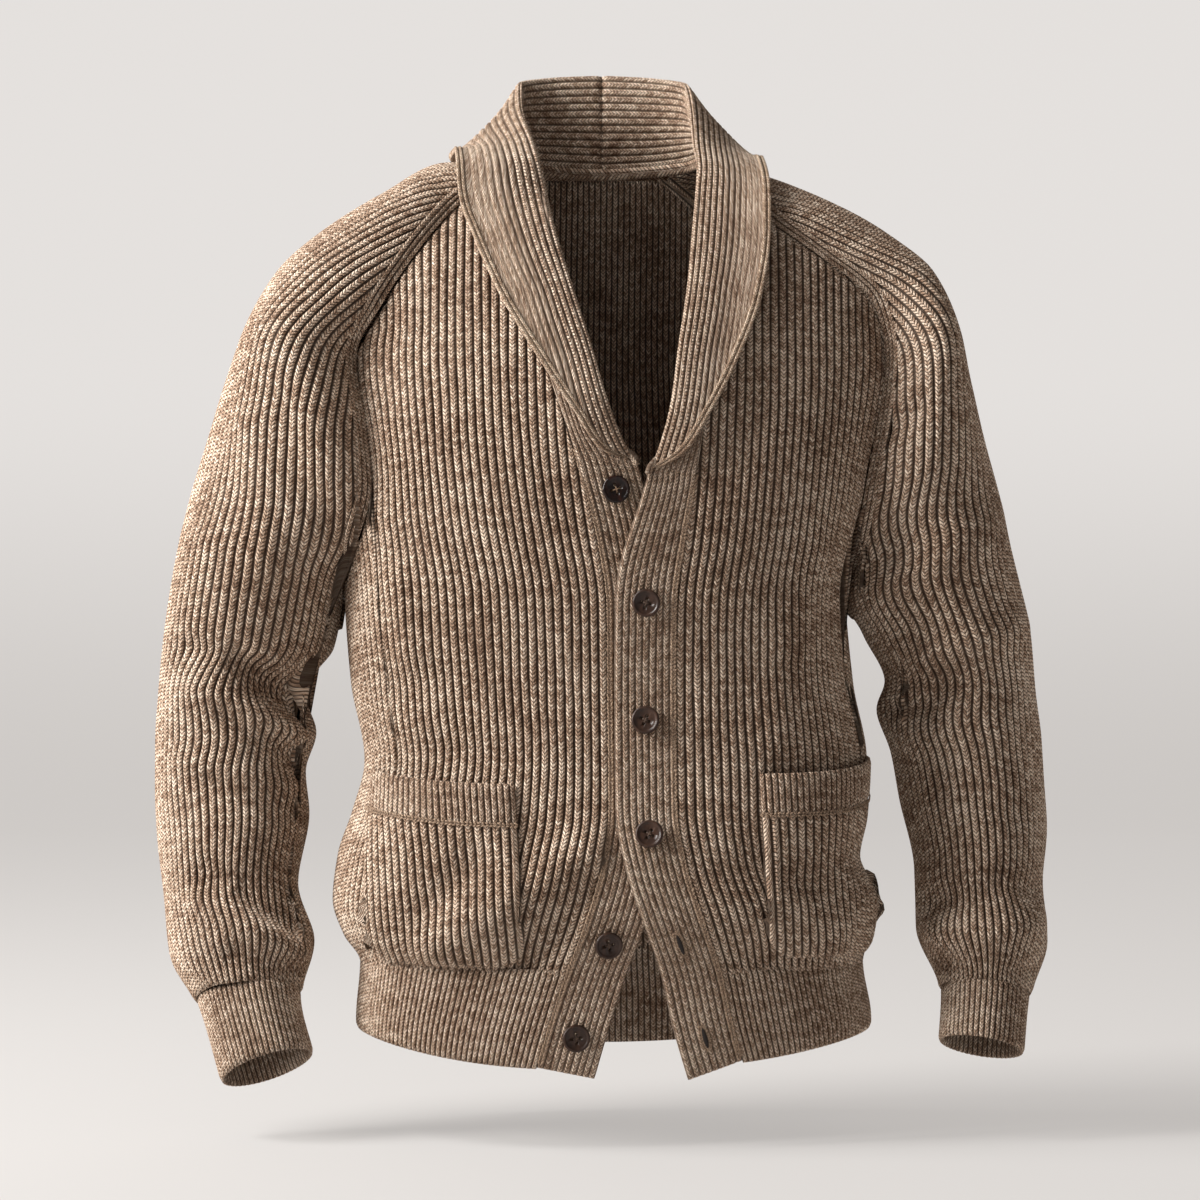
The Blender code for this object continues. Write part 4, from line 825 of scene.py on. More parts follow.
def wall_mesh(name, outer, inner, numbers, course, strength, closed, flip):
    """One closed mesh from a fine outer grid and a coarser inner grid, with its knitting's own map."""
    rows, fine = outer.shape[:2]
    coarse = inner.shape[1]
    fine_kept, coarse_kept = (fine - 1, coarse - 1) if closed else (fine, coarse)
    verts = np.concatenate([outer[:, :fine_kept].reshape(-1, 3), inner[:, :coarse_kept].reshape(-1, 3)])
    offset = rows * fine_kept
    outer_uv = np.stack([np.broadcast_to(numbers, (rows, fine)), course], axis=-1)
    inner_uv = outer_uv[:, ::INNER_STEP] + np.array([INSIDE_MAP + 0.5, 0.0])

    def ids(kept, count, start):
        return start + np.arange(rows)[:, None] * kept + (np.arange(count)[None, :] % kept)

    out_id, in_id = ids(fine_kept, fine, 0), ids(coarse_kept, coarse, offset)
    loops, coords, totals = [], [], []

    def quads(a, b, c, d, uv_a, uv_b, uv_c, uv_d):
        corner = np.stack([a, b, c, d], axis=-1).reshape(-1, 4)
        uv = np.stack([uv_a, uv_b, uv_c, uv_d], axis=-2).reshape(-1, 4, 2)
        if flip:
            corner, uv = corner[:, ::-1], uv[:, ::-1]
        loops.append(corner.reshape(-1))
        coords.append(uv.reshape(-1, 2))
        totals.append(np.full(len(corner), 4))

    quads(out_id[:-1, :-1], out_id[:-1, 1:], out_id[1:, 1:], out_id[1:, :-1],
          outer_uv[:-1, :-1], outer_uv[:-1, 1:], outer_uv[1:, 1:], outer_uv[1:, :-1])
    quads(in_id[:-1, :-1], in_id[1:, :-1], in_id[1:, 1:], in_id[:-1, 1:],
          inner_uv[:-1, :-1], inner_uv[1:, :-1], inner_uv[1:, 1:], inner_uv[:-1, 1:])
    if not closed:
        quads(out_id[1:, 0], in_id[1:, 0], in_id[:-1, 0], out_id[:-1, 0],
              outer_uv[1:, 0], outer_uv[1:, 0], outer_uv[:-1, 0], outer_uv[:-1, 0])
        quads(out_id[:-1, -1], in_id[:-1, -1], in_id[1:, -1], out_id[1:, -1],
              outer_uv[:-1, -1], outer_uv[:-1, -1], outer_uv[1:, -1], outer_uv[1:, -1])
    for row, back in ((0, False), (rows - 1, True)):
        for c in range(coarse - 1):
            chain = list(range(c * INNER_STEP, (c + 1) * INNER_STEP + 1))
            face = [out_id[row, j] for j in chain[::-1]] + [in_id[row, c], in_id[row, c + 1]]
            uv = [outer_uv[row, j] for j in [*chain[::-1], chain[0], chain[-1]]]
            if back != flip:
                face, uv = face[::-1], uv[::-1]
            loops.append(np.array(face))
            coords.append(np.array(uv))
            totals.append(np.array([len(face)]))
    loops, coords, totals = np.concatenate(loops), np.concatenate(coords), np.concatenate(totals)
    mesh = bpy.data.meshes.new(name)
    mesh.vertices.add(len(verts))
    mesh.vertices.foreach_set("co", verts.astype(np.float32).reshape(-1))
    mesh.loops.add(len(loops))
    mesh.loops.foreach_set("vertex_index", loops.astype(np.int32))
    mesh.polygons.add(len(totals))
    mesh.polygons.foreach_set("loop_start", (np.cumsum(totals) - totals).astype(np.int32))
    mesh.polygons.foreach_set("loop_total", totals.astype(np.int32))
    mesh.update(calc_edges=True)
    layer = mesh.uv_layers.new(name="knit")
    layer.data.foreach_set("uv", coords.astype(np.float32).reshape(-1))
    mesh.polygons.foreach_set("use_smooth", np.ones(len(totals), bool))
    shown = np.concatenate([strength[:, :fine_kept].reshape(-1),
                            strength[:, ::INNER_STEP][:, :coarse_kept].reshape(-1)]).astype(np.float32)
    mesh.attributes.new("ribbing", "FLOAT", "POINT").data.foreach_set("value", shown)
    mesh.validate()
    piece = bpy.data.objects.new(name, mesh)
    bpy.context.scene.collection.objects.link(piece)
    return piece


def cut_area(points):
    """Area of the smooth surface through a grid of points."""
    sides = np.cross(points[1:, :-1] - points[:-1, :-1], points[:-1, 1:] - points[:-1, :-1])
    return float(np.linalg.norm(sides, axis=-1).sum())


def rib_total(length, pitch):
    return max(2, int(round(length / pitch)))


def row_total(length, height=COURSE):
    return max(4, int(round(length / height)) + 1)


def panel_folds(table):
    """The body's folds from a table, fading where the cloth turns to the side."""
    def heights(points, normals):
        return fold_heights(points, table) * smooth(FOLD_FADE * (1 - np.abs(normals[..., 0])))

    return heights


def no_sink(points):
    return np.zeros(points.shape[:-1])


# --- Body -------------------------------------------------------------------------------------------

PIECES = []


def keep(piece, nodes, slot, flat, held="hung", on=(), trims=()):
    """Lists a sheet with what it takes the place of, its cut, what it hangs from and the trims on it."""
    PIECES.append((piece, nodes, slot, flat, held, on, trims))
    return piece


def make_front(side):
    surface = front_surface[side]

    def place(across, along):
        z = HEM_SEAM_Z + (surface.tops(across) - HEM_SEAM_Z) * along
        points = surface.at(across, z)
        return points, no_sink(points), z

    width = abs(front_width(torso_arc("front", BODY_LEVEL), side, BODY_LEVEL))
    piece = knit_sheet(f"front_{side}_knit", place, rib_total(width, RIB_PITCH), row_total(0.60),
                       SEEDS[f"front_{side}"], flip=side == "right", folds=panel_folds(FRONT_FOLDS))
    return keep(piece, [f"front_{side}"], "body_knit", (width * FRONT_EASE, FRONT_FLAT),
                on=[f"sleeve_{side}_knit"])


def make_back(tape):
    top = back_tops()

    def place(across, along):
        z = HEM_SEAM_Z + (top(across) - HEM_SEAM_Z) * along
        points = back_surface.at(across, z)
        return points, no_sink(points), z

    width = float(torso_arc("back", BODY_LEVEL)[1][-1])
    piece = knit_sheet("back_knit", place, rib_total(width, RIB_PITCH), row_total(BACK_FLAT), SEEDS["back"],
                       flip=True, folds=panel_folds(BACK_FOLDS))
    return keep(piece, ["back"], "body_knit", (width, BACK_FLAT),
                on=["sleeve_right_knit", "sleeve_left_knit"], trims=[tape])


def hem_low(face, x, side):
    half = torso_right(HEM_SEAM_Z) if side == "right" else torso_left(HEM_SEAM_Z)
    share = np.minimum(1.0, np.abs(x) / half)
    middle = HEM_BACK_Z if face == "back" else HEM_FRONT_Z
    return middle + (HEM_SIDE_Z - middle) * share ** 2


def make_hems():
    for name, side in (("hem_front_right", "right"), ("hem_front_left", "left"), ("hem_back", None)):
        face = "back" if side is None else "front"
        surface = back_surface if side is None else front_surface[side]
        arc = torso_arc(face, HEM_SEAM_Z)
        width = arc[1][-1] if side is None else abs(front_width(arc, side, HEM_SEAM_Z))

        def place(across, along):
            x = surface.at(across, np.full_like(across, HEM_SEAM_Z))[..., 0]
            low = np.where(x < 0, hem_low(face, x, "right"), hem_low(face, x, "left"))
            z = low + (HEM_SEAM_Z + SEAM_UNDER - low) * along
            points = surface.at(across, z)
            return points, SEAM_SINK * smooth((z - HEM_SEAM_Z) / SEAM_UNDER), z

        piece = knit_sheet(name + "_knit", place, rib_total(width, FINE_PITCH), row_total(0.075),
                           SEEDS["hem"], flip=side != "left", depth=TRIM_DEPTH, wobble=0.03)
        keep(piece, [name], "trim_knit", (width, HEM_FLAT),
             on=["back_knit" if side is None else f"front_{side}_knit"])


RAGLAN_SINK = 0.0022      # how deep the sleeve's edge lies under the raglan ridge
RAGLAN_SINK_FROM, RAGLAN_SINK_OVER = 0.010, 0.005   # where it rises again, from the seam
RIDGE_WIDTH = 0.0142      # of the raglan ridge outside
RIDGE_INNER_HALF = 0.007  # half the width of the one inside
RIDGE_INNER_GAP = 0.0012  # how far that one lies inside the wall
SLEEVE_RIB_SHARE = 0.80   # fewer, wider ribs round the sleeve's widest part


def make_inner_strip(side, sleeve):
    """The raglan seam's ridge inside the back, over the edges of the back and the sleeve."""
    t = np.linspace(sleeve.armpit + 0.01, sleeve.end, 90)
    on_seam = sleeve.beside_seam(1, np.zeros_like(t), t)
    on_sleeve = sleeve.beside_seam(1, np.full_like(t, RIDGE_INNER_HALF), t)
    on_back = np.array([torso_at_x("back", float(p[0]) - SIGN[side] * RIDGE_INNER_HALF, float(p[2]))
                        for p in on_seam])
    strip = Lattice([0.0, 0.5, 1.0], t, np.stack([on_back, on_seam, on_sleeve], axis=1))
    inward = np.array([0.0, -WALL - RIDGE_INNER_GAP, 0.0])

    def place(across, along):
        course = t[0] + (t[-1] - t[0]) * along
        points = strip.at(across, course) + inward
        return points, no_sink(points), course

    return knit_sheet(f"raglan_inner_{side}", place, 2, row_total(0.34, 0.0045), SEEDS["raglan_inner"],
                      flip=side == "left", depth=0.0014, thick=0.0020)


def make_cuff(side, sleeve):
    def place(across, along):
        turn = 2 * across - 1
        share = np.minimum(np.abs(turn), 1.0)
        t = (sleeve.knots[0] + SEAM_UNDER) * (1 - along)
        points = np.where((turn < 0)[..., None], sleeve.at(0, share, t)[0], sleeve.at(1, share, t)[0])
        return points, SEAM_SINK * smooth((t - sleeve.knots[0]) / SEAM_UNDER), t

    cuff_round = float(sum(np.interp(0.0, sleeve.levels, found) for found in sleeve.lengths))
    piece = knit_sheet(f"cuff_{side}_knit", place, rib_total(cuff_round, FINE_PITCH), row_total(0.066),
                       SEEDS["cuff"], closed=True, flip=side == "right", depth=TRIM_DEPTH, wobble=0.03)
    keep(piece, [f"cuff_{side}"], "trim_knit", (cuff_round, CUFF_FLAT), on=[f"sleeve_{side}_knit"])


def make_ridge(side, sleeve, way, face):
    """The raglan seam's ridge outside, on the sleeve's edge."""
    def place(across, along):
        t = sleeve.armpit + 0.004 + (sleeve.end - sleeve.armpit - 0.006) * along
        distance = -0.0006 + RIDGE_WIDTH * across
        points = sleeve.beside_seam(way, np.maximum(distance, 0.0), t)
        taper = smooth(along / 0.06)
        return points, (0.0030 * (1 - taper) - 0.0003) + no_sink(points), t

    return knit_sheet(f"raglan_strip_{face}_{side}", place, 3, row_total(0.36, 0.0040),
                      SEEDS[f"raglan_{face}"], flip=(side == "right") != (face == "back"), depth=0.0027,
                      thick=0.0028, wobble=0.16)


def make_sleeve(side):
    sleeve = Sleeve(side)

    def place(across, along):
        turn = 2 * across - 1
        share = np.minimum(np.abs(turn), 1.0)
        points = np.zeros(across.shape + (3,))
        sink = np.zeros(across.shape)
        course = np.zeros(across.shape)
        for way in (0, 1):
            here = (turn < 0) == (way == 0)
            top = sleeve.ends(way, share)
            t = top * along
            found, distance = sleeve.at(way, share, t)
            points[here] = found[here]
            rise = smooth((distance - RAGLAN_SINK_FROM) / RAGLAN_SINK_OVER)
            sink[here] = (RAGLAN_SINK * (1 - rise))[here]
            course[here] = t[here]
        return points, sink, course

    def folds(points, normals):
        facing = smooth(0.5 - normals[..., 1] * 0.9)
        front = fold_heights(points, SLEEVE_FOLDS[side])
        back = fold_heights(points - np.array([0.0, 0.0, BACK_FOLD_UP]), SLEEVE_FOLDS[side])
        fade = smooth(np.abs(normals[..., 1]) / SLEEVE_FOLD_FADE)
        return (front * facing + back * BACK_FOLD_SHARE * (1 - facing)) * fade

    round_way = sum(sleeve.full)
    ribs = rib_total(round_way * SLEEVE_RIB_SHARE, RIB_PITCH)
    ribs += ribs % 2
    piece = knit_sheet(f"sleeve_{side}_knit", place, ribs, row_total(sleeve.end, 0.0048),
                       SEEDS[f"sleeve_{side}"], closed=True, flip=side == "right", folds=folds)
    make_cuff(side, sleeve)
    ridges = [make_ridge(side, sleeve, way, face) for way, face in enumerate(("front", "back"))]
    keep(piece, [f"sleeve_{side}"], "body_knit", (round_way, sleeve.end),
         trims=ridges + [make_inner_strip(side, sleeve)])
    return piece, ridges


# --- Bands, collar, pockets -------------------------------------------------------------------------

def band_width(side, z):
    return BAND_WIDTH - BAND_NARROWS[side] * smooth((z + 0.315) / 0.070)


def band_lattice(side):
    levels = np.linspace(BAND_END_Z, BREAK_Z[side] + 0.02, 130)
    across = np.linspace(-0.1, 1.1, 41)
    way = 1.0 if side == "right" else -1.0
    rows = []
    for z in levels:
        arc = torso_arc("front", z)
        start = length_at_x(arc, float(front_edge[side](z)))
        points = at_lengths(arc, start + way * across * band_width(side, z))
        along = unit(np.gradient(points, axis=0)) * way
        outward = np.stack([along[:, 1], -along[:, 0], np.zeros(len(across))], axis=1)
        lift = TOP_BAND_LIFT * across if side == "left" else -0.0006 - UNDER_BAND_SINK * across
        rows.append(points + outward * lift[:, None])
    return Lattice(across, levels, np.array(rows))


band_surface = {side: band_lattice(side) for side in SIGN}


def make_band(side, collar):
    """A front band. It runs on a little way under the collar's fall."""
    break_z = BREAK_Z[side]
    top_z = break_z + BAND_UNDER_COLLAR
    surface = band_surface[side]
    seam_z = collar.parts[0].at(np.ones_like(collar.levels), collar.levels)[:, 2]
    end_z = hem_low("front", float(front_edge[side](HEM_FRONT_Z)), side)

    def place(across, along):
        end = end_z + (BAND_END_Z - end_z) * across
        z = end + (top_z - end) * along
        low = surface.at(across, np.minimum(z, break_z + 0.018))
        t = np.interp(z, seam_z[:RISING_LEVELS], collar.levels[:RISING_LEVELS])
        inward = 1 - across * (1 - 0.30 * smooth((z - break_z) / 0.03))
        high = collar.at(-np.clip(inward, 0.02, 1.0), t)
        high = high + np.array([0.0, -(COLLAR_WALL + 0.0008), 0.0])
        share = smooth((z - break_z + BAND_JOIN) / BAND_JOIN)[..., None]
        points = low * (1 - share) + high * share
        return points, no_sink(points), z

    piece = knit_sheet(f"band_{side}_knit", place, BAND_RIBS, row_total(top_z - BAND_END_Z, 0.004),
                       SEEDS[f"band_{side}"], thick=BAND_WALL, flip=side == "left", depth=0.0011, wobble=0.05)
    keep(piece, [f"band_{side}"], "trim_knit", (BAND_WIDTH * BAND_EASE, top_z - BAND_END_Z),
         on=[f"front_{side}_knit"])


def laid_on(points, normals, pieces, clearance):
    """The points moved out where they would come closer than the clearance to the pieces beneath."""
    trees = []
    for piece in pieces:
        work = bmesh.new()
        work.from_mesh(piece.data)
        trees.append(BVHTree.FromBMesh(work))
        work.free()
    push = np.zeros(points.shape[:2])
    for i, j in np.ndindex(push.shape):
        start = Vector(points[i, j] + normals[i, j] * LAY_REACH)
        for tree in trees:
            distance = tree.ray_cast(start, Vector(-normals[i, j]), LAY_REACH + clearance)[3]
            if distance is not None:
                push[i, j] = max(push[i, j], LAY_REACH + clearance - distance)
    for _ in range(3):
        spread = np.pad(push, 1, mode="edge")
        mean = sum(spread[1 + a:spread.shape[0] - 1 + a, 1 + b:spread.shape[1] - 1 + b]
                   for a in (-1, 0, 1) for b in (-1, 0, 1)) / 9
        push = np.maximum(push, mean)
    return points + normals * push[..., None]


def make_collar_edge(side, collar):
    """The border's two chains along the collar's free edge."""
    fall = collar.parts[1]

    def place(across, along):
        t = collar.end * (0.012 + 0.988 * along)
        length = np.interp(t, collar.levels, collar.lengths[1])
        reach = (COLLAR_BORDER * (1 - across) - 0.0004) / np.maximum(length, COLLAR_BORDER + 0.001)
        points = fall.at(1 - reach, t)
        return points, no_sink(points) - 0.0006, t

    return knit_sheet(f"collar_edge_{side}", place, 2, row_total(0.45, 0.0040), SEEDS["collar_edge"],
                      thick=0.0030, flip=side == "right", depth=0.0012)


def make_collar(side, collar, beneath):
    """Half of the collar, laid on the cloth beneath its fall."""
    fall = collar.parts[1]
    normals = directions(fall.points, side == "right")
    fall.points[:, 4:] = laid_on(fall.points[:, 4:], normals[:, 4:], beneath, COLLAR_WALL + LAY_GAP)
    stand_ribs = rib_total(collar.stand, COLLAR_PITCH * 1.35)
    fall_ribs = rib_total(collar.width, COLLAR_PITCH)
    ribs = stand_ribs + fall_ribs

    def shares(across):
        number = across * ribs
        return np.where(number < stand_ribs, number / stand_ribs - 1, (number - stand_ribs) / fall_ribs)

    def place(across, along):
        across = np.clip(across, -1, 1)
        t = collar.row(across, along)
        points = collar.at(across, t)
        return points, no_sink(points), t

    def ribbing(across, along):
        fading = smooth((across - COLLAR_PLAIN[0]) / (COLLAR_PLAIN[1] - COLLAR_PLAIN[0]))
        return 1 - (1 - COLLAR_RIBS_LEFT) * fading

    piece = knit_sheet(f"collar_{side}_knit", place, ribs, row_total(0.43, 0.0042), SEEDS[f"collar_{side}"],
                       thick=COLLAR_WALL, flip=side == "right", depth=0.0016, shares=shares, wobble=0.02,
                       ribbing=ribbing)
    keep(piece, [f"collar_{side}"], "trim_knit", COLLAR_FLAT, "folded",
         on=["back_knit", f"front_{side}_knit"], trims=[make_collar_edge(side, collar)])


WELT_SEAMS = {}           # each welt's lower edge: its points and the directions out of them
TAPE_WIDTH = 0.0092


def make_pocket(side):
    x_top, x_low, width, mouth_in, mouth_out, welt, bottom = POCKETS[side]
    surface = front_surface[side]
    levels = np.linspace(bottom, max(mouth_in, mouth_out), 60)
    starts, shares = [], []
    for z in levels:
        arc = torso_arc("front", z)
        height = min(1.0, max(0.0, (z - bottom) / (mouth_in - bottom)))
        start = length_at_x(arc, float(front_edge[side](z)))
        end = length_at_x(arc, side_x("front", side, z))
        near = length_at_x(arc, x_low + (x_top - x_low) * height)
        starts.append(abs(near - start) / abs(end - start))
        shares.append(width / abs(end - start))

    def base(across, z, mouth):
        place_across = np.interp(z, levels, starts) + across * np.interp(z, levels, shares)
        points = surface.at(place_across, z)
        normals = directions(points, side == "right")
        height = np.clip((z - bottom) / (mouth - bottom), 0, 1)
        bulge = POCKET_STAND * np.sin(math.pi * np.clip(across, 0, 1)) ** 0.8 * height ** 1.4
        puff = POCKET_PUFF * np.sin(math.pi * np.clip(across, 0, 1)) * np.sin(math.pi * height)
        fold = panel_folds(FRONT_FOLDS)(points, normals)
        return points + normals * (WALL + 0.0007 + bulge + puff + fold)[..., None]

    across = np.broadcast_to(np.linspace(0.01, 0.99, 60), (3, 60))
    mouth = mouth_in + (mouth_out - mouth_in) * across
    seam = mouth - welt - WELT_SAG * np.sin(math.pi * across)
    seam_grid = base(across, seam + np.array([[-0.004], [0.0], [0.004]]), mouth)
    WELT_SEAMS[side] = (seam_grid[1], directions(seam_grid, side == "right")[1])

    for name, pitch, height, depth, slot in (("pocket", RIB_PITCH, POCKET_HEIGHT, RIB_DEPTH, "body_knit"),
                                             ("pocket_welt", FINE_PITCH, welt, 0.0013, "trim_knit")):
        def place(across, along):
            mouth = mouth_in + (mouth_out - mouth_in) * across
            sag = WELT_SAG * np.sin(math.pi * np.clip(across, 0, 1))
            from_side = width * np.minimum(across, 1 - across)
            corner = np.maximum(0.0, POCKET_CORNER - from_side) / POCKET_CORNER
            low = bottom + POCKET_CORNER * (1 - np.sqrt(np.maximum(0.0, 1 - np.minimum(corner, 1) ** 2)))
            seam = mouth - welt - sag
            z = low + (seam - low) * along if name == "pocket" else seam + (mouth - sag - seam) * along
            return base(across, z, mouth), POCKET_EDGE_SINK * (1 - smooth(from_side / POCKET_EDGE)), z

        piece = knit_sheet(f"{name}_{side}_knit", place, rib_total(width, pitch), row_total(height, 0.004),
                           SEEDS[name], flip=side == "right", wobble=0.03, depth=depth)
        keep(piece, [f"{name}_{side}"], slot, (width * POCKET_EASE, height), "laid",
             on=[f"front_{side}_knit"])


def sew_welts(yarn):
    """The row where each pocket's welt is joined on."""
    for side, (points, outward) in WELT_SEAMS.items():
        sew_row(f"welt_seam_{side}", points + outward * 0.0002, outward, 0.0030, 0.0026, yarn, 7)


def make_neck_tape():
    """A narrow knitted tape that covers the back neck seam on the inside."""
    xs = np.array([-0.076, -0.066, -0.037, 0.0, 0.037, 0.068, 0.081])
    ys = np.array([-0.036, -0.0135, -0.0080, -0.0078, -0.0080, -0.0135, -0.036])
    zs = np.array([0.0075, 0.0040, 0.0008, -0.0012, 0.0008, 0.0040, 0.0075])
    run = np.stack([curve(np.arange(7.0), v)(np.linspace(0, 6, 121)) for v in (xs, ys, zs)], axis=1)
    lengths = run_lengths(run)

    def place(across, along):
        points = at_lengths((run, lengths), along * lengths[-1])
        points = points + np.array([0.0, 0.0, TAPE_WIDTH]) * across[..., None]
        return points, no_sink(points), along * lengths[-1]

    return knit_sheet("neck_tape", place, 1, row_total(lengths[-1], 0.003), SEEDS["neck_tape"], thick=0.0016,
                      depth=0.0009)


# --- Linking stitches -------------------------------------------------------------------------------

STITCH_UNEVEN = 0.12      # share of a stitch's size
LINK_ACROSS = 0.04        # where the linking chain runs, in shares of a band's width


def stitch_shape():
    """One chain stitch of unit length: two plump strands that open along the chain."""
    work = bmesh.new()
    for side in (-1, 1):
        start, end = Vector((-0.50, 0.14 * side, 0.0)), Vector((0.60, 0.62 * side, 0.0))
        over = (end - start).normalized().cross(Vector((0, 0, 1)))
        rings = []
        for u, radius in ((0.0, 0.10), (0.22, 0.24), (0.5, 0.30), (0.78, 0.24), (1.0, 0.10)):
            centre = start.lerp(end, u)
            ring = []
            for a in np.linspace(0, 2 * math.pi, 6, endpoint=False):
                spoke = over * math.cos(a) + Vector((0, 0, 0.75 * math.sin(a)))
                ring.append(work.verts.new(centre + spoke * radius))
            rings.append(ring)
        for low, high in zip(rings, rings[1:]):
            for k in range(6):
                work.faces.new((low[k], low[(k + 1) % 6], high[(k + 1) % 6], high[k]))
        work.faces.new(rings[0][::-1])
        work.faces.new(rings[-1])
    bmesh.ops.recalc_face_normals(work, faces=work.faces)
    return as_object(work, "chain_stitch")


def stitch_row_tree():
    """Sets one stitch on each point of a guide, turned along it and facing out."""
    tree = bpy.data.node_groups.new("stitch_row", "GeometryNodeTree")
    for name, kind in (("Guide", "Geometry"), ("Stitch", "Object"), ("Size", "Float"),
                       ("Unevenness", "Float"), ("Seed", "Int"), ("Yarn", "Material")):
        tree.interface.new_socket(name=name, in_out="INPUT", socket_type="NodeSocket" + kind)
    tree.interface.new_socket(name="Stitches", in_out="OUTPUT", socket_type="NodeSocketGeometry")
    n = Nodes(tree)
    given = n.add("NodeGroupInput").outputs
    spots = n.add("GeometryNodeMeshToPoints")
    n.link(given["Guide"], spots.inputs["Mesh"])
    shape = n.add("GeometryNodeObjectInfo")
    n.link(given["Stitch"], shape.inputs["Object"])
    turn = None
    for axis, pivot, attribute in (("X", "AUTO", "along"), ("Z", "X", "outward")):
        align = n.add("FunctionNodeAlignRotationToVector", axis=axis, pivot_axis=pivot)
        named = n.add("GeometryNodeInputNamedAttribute", data_type="FLOAT_VECTOR")
        named.inputs["Name"].default_value = attribute
        n.link(named.outputs["Attribute"], align.inputs["Vector"])
        if turn is not None:
            n.link(turn, align.inputs["Rotation"])
        turn = align.outputs["Rotation"]
    spread = n.add("FunctionNodeRandomValue", data_type="FLOAT")
    n.put(spread.inputs[2], n.math("SUBTRACT", 1.0, given["Unevenness"]))
    n.put(spread.inputs[3], n.math("ADD", 1.0, given["Unevenness"]))
    n.link(given["Seed"], spread.inputs["Seed"])
    instances = n.add("GeometryNodeInstanceOnPoints")
    n.link(spots.outputs["Points"], instances.inputs["Points"])
    n.link(shape.outputs["Geometry"], instances.inputs["Instance"])
    n.link(turn, instances.inputs["Rotation"])
    n.link(n.math("MULTIPLY", spread.outputs[1], given["Size"]), instances.inputs["Scale"])
    real = n.add("GeometryNodeRealizeInstances")
    n.link(instances.outputs["Instances"], real.inputs["Geometry"])
    dyed = n.add("GeometryNodeSetMaterial")
    n.link(real.outputs["Geometry"], dyed.inputs["Geometry"])
    n.link(given["Yarn"], dyed.inputs["Material"])
    n.link(dyed.outputs["Geometry"], n.add("NodeGroupOutput").inputs["Stitches"])
    return tree


def sew_row(name, points, outward, spacing, size, yarn, seed):
    """A row of chain stitches along a run of points on the cloth."""
    lengths = run_lengths(points)
    count = max(2, int(lengths[-1] / spacing))
    where = np.linspace(0, lengths[-1], count)
    spots = at_lengths((points, lengths), where)
    faces = unit(at_lengths((outward, lengths), where))
    along = unit(np.gradient(spots, axis=0))
    mesh = bpy.data.meshes.new(name + "_guide")
    mesh.from_pydata(spots.tolist(), [], [])
    for label, values in (("along", along), ("outward", faces)):
        attribute = mesh.attributes.new(label, "FLOAT_VECTOR", "POINT")
        attribute.data.foreach_set("vector", values.astype(np.float32).reshape(-1))
    guide = bpy.data.objects.new(name + "_guide", mesh)
    bpy.context.scene.collection.objects.link(guide)
    sewing = guide.modifiers.new("stitches", "NODES")
    sewing.node_group = STITCH_ROW
    given = {"Stitch": STITCH, "Size": size, "Unevenness": STITCH_UNEVEN, "Seed": seed, "Yarn": yarn}
    for item in STITCH_ROW.interface.items_tree:
        if item.item_type == "SOCKET" and item.name in given:
            sewing[item.identifier] = given[item.name]
    graph = bpy.context.evaluated_depsgraph_get()
    made = bpy.data.meshes.new_from_object(guide.evaluated_get(graph))
    bpy.data.objects.remove(guide)
    row = bpy.data.objects.new(name, made)
    bpy.context.scene.collection.objects.link(row)
    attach(row, "root")
    return row


def band_place(side, across, z):
    """Points on a band's face and the directions out of it."""
    surface = band_surface[side]
    here = surface.at(across, z)
    over = surface.at(across + 0.06, z) - surface.at(across - 0.06, z)
    up = surface.at(across, z + 0.004) - surface.at(across, z - 0.004)
    out = unit(np.cross(up, over))
    return here, np.where(out[..., 1:2] > 0, -out, out)


def sew_bands(yarn):
    """The chain that joins each band to its front."""
    for side, top in (("right", BREAK_Z["right"] + 0.010), ("left", BREAK_Z["left"])):
        low = hem_low("front", float(front_edge[side](HEM_FRONT_Z)), side)
        z = np.linspace(low + 0.004, top, 160)
        points, outward = band_place(side, np.full_like(z, LINK_ACROSS), z)
        sew_row(f"band_seam_{side}", points - outward * 0.0001, outward, 0.0031, 0.0033, yarn, 3)


def sew_buttonholes(yarn, dark):
    """The two open buttonholes: a stitched edge round a dark slit that lies in the band, painted shadow where
    the hole goes through.
    """
    half_width, half_height = BUTTONHOLE_RING
    for name, z in BUTTONHOLES:
        angle = np.linspace(0, 2 * math.pi, 60)
        across = BUTTONHOLE_ACROSS + half_width / BAND_WIDTH * np.sin(angle)
        points, outward = band_place("left", across, z + half_height * np.cos(angle))
        sew_row(f"{name}_edge", points + outward * 0.0001, outward, 0.0016, 0.0019, yarn, 5)
        low, middle, high = (band_place("left", np.array(BUTTONHOLE_ACROSS), np.array(level))
                             for level in (z - 0.004, z, z + 0.004))
        centre, out = middle
        up = Vector(high[0] - low[0]).normalized()
        # the slit is a dark closed sheet of painted shadow lying in the band, not a cut through it
        width, height, depth = BUTTONHOLE_SLIT
        work = spun([(math.sin(a), math.cos(a)) for a in np.linspace(0, math.pi, 11)], 16)
        axes = Matrix((Vector(out).cross(up) * width, up * height, Vector(out) * depth)).transposed().to_4x4()
        seat = Matrix.Translation(Vector(centre + out * -0.0002)) @ axes
        bmesh.ops.transform(work, matrix=seat, verts=work.verts)
        bmesh.ops.recalc_face_normals(work, faces=work.faces)
        slit = as_object(work, f"{name}_slit")
        slit.data.materials.append(dark)
        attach(slit, "root")


# --- Buttons ----------------------------------------------------------------------------------------

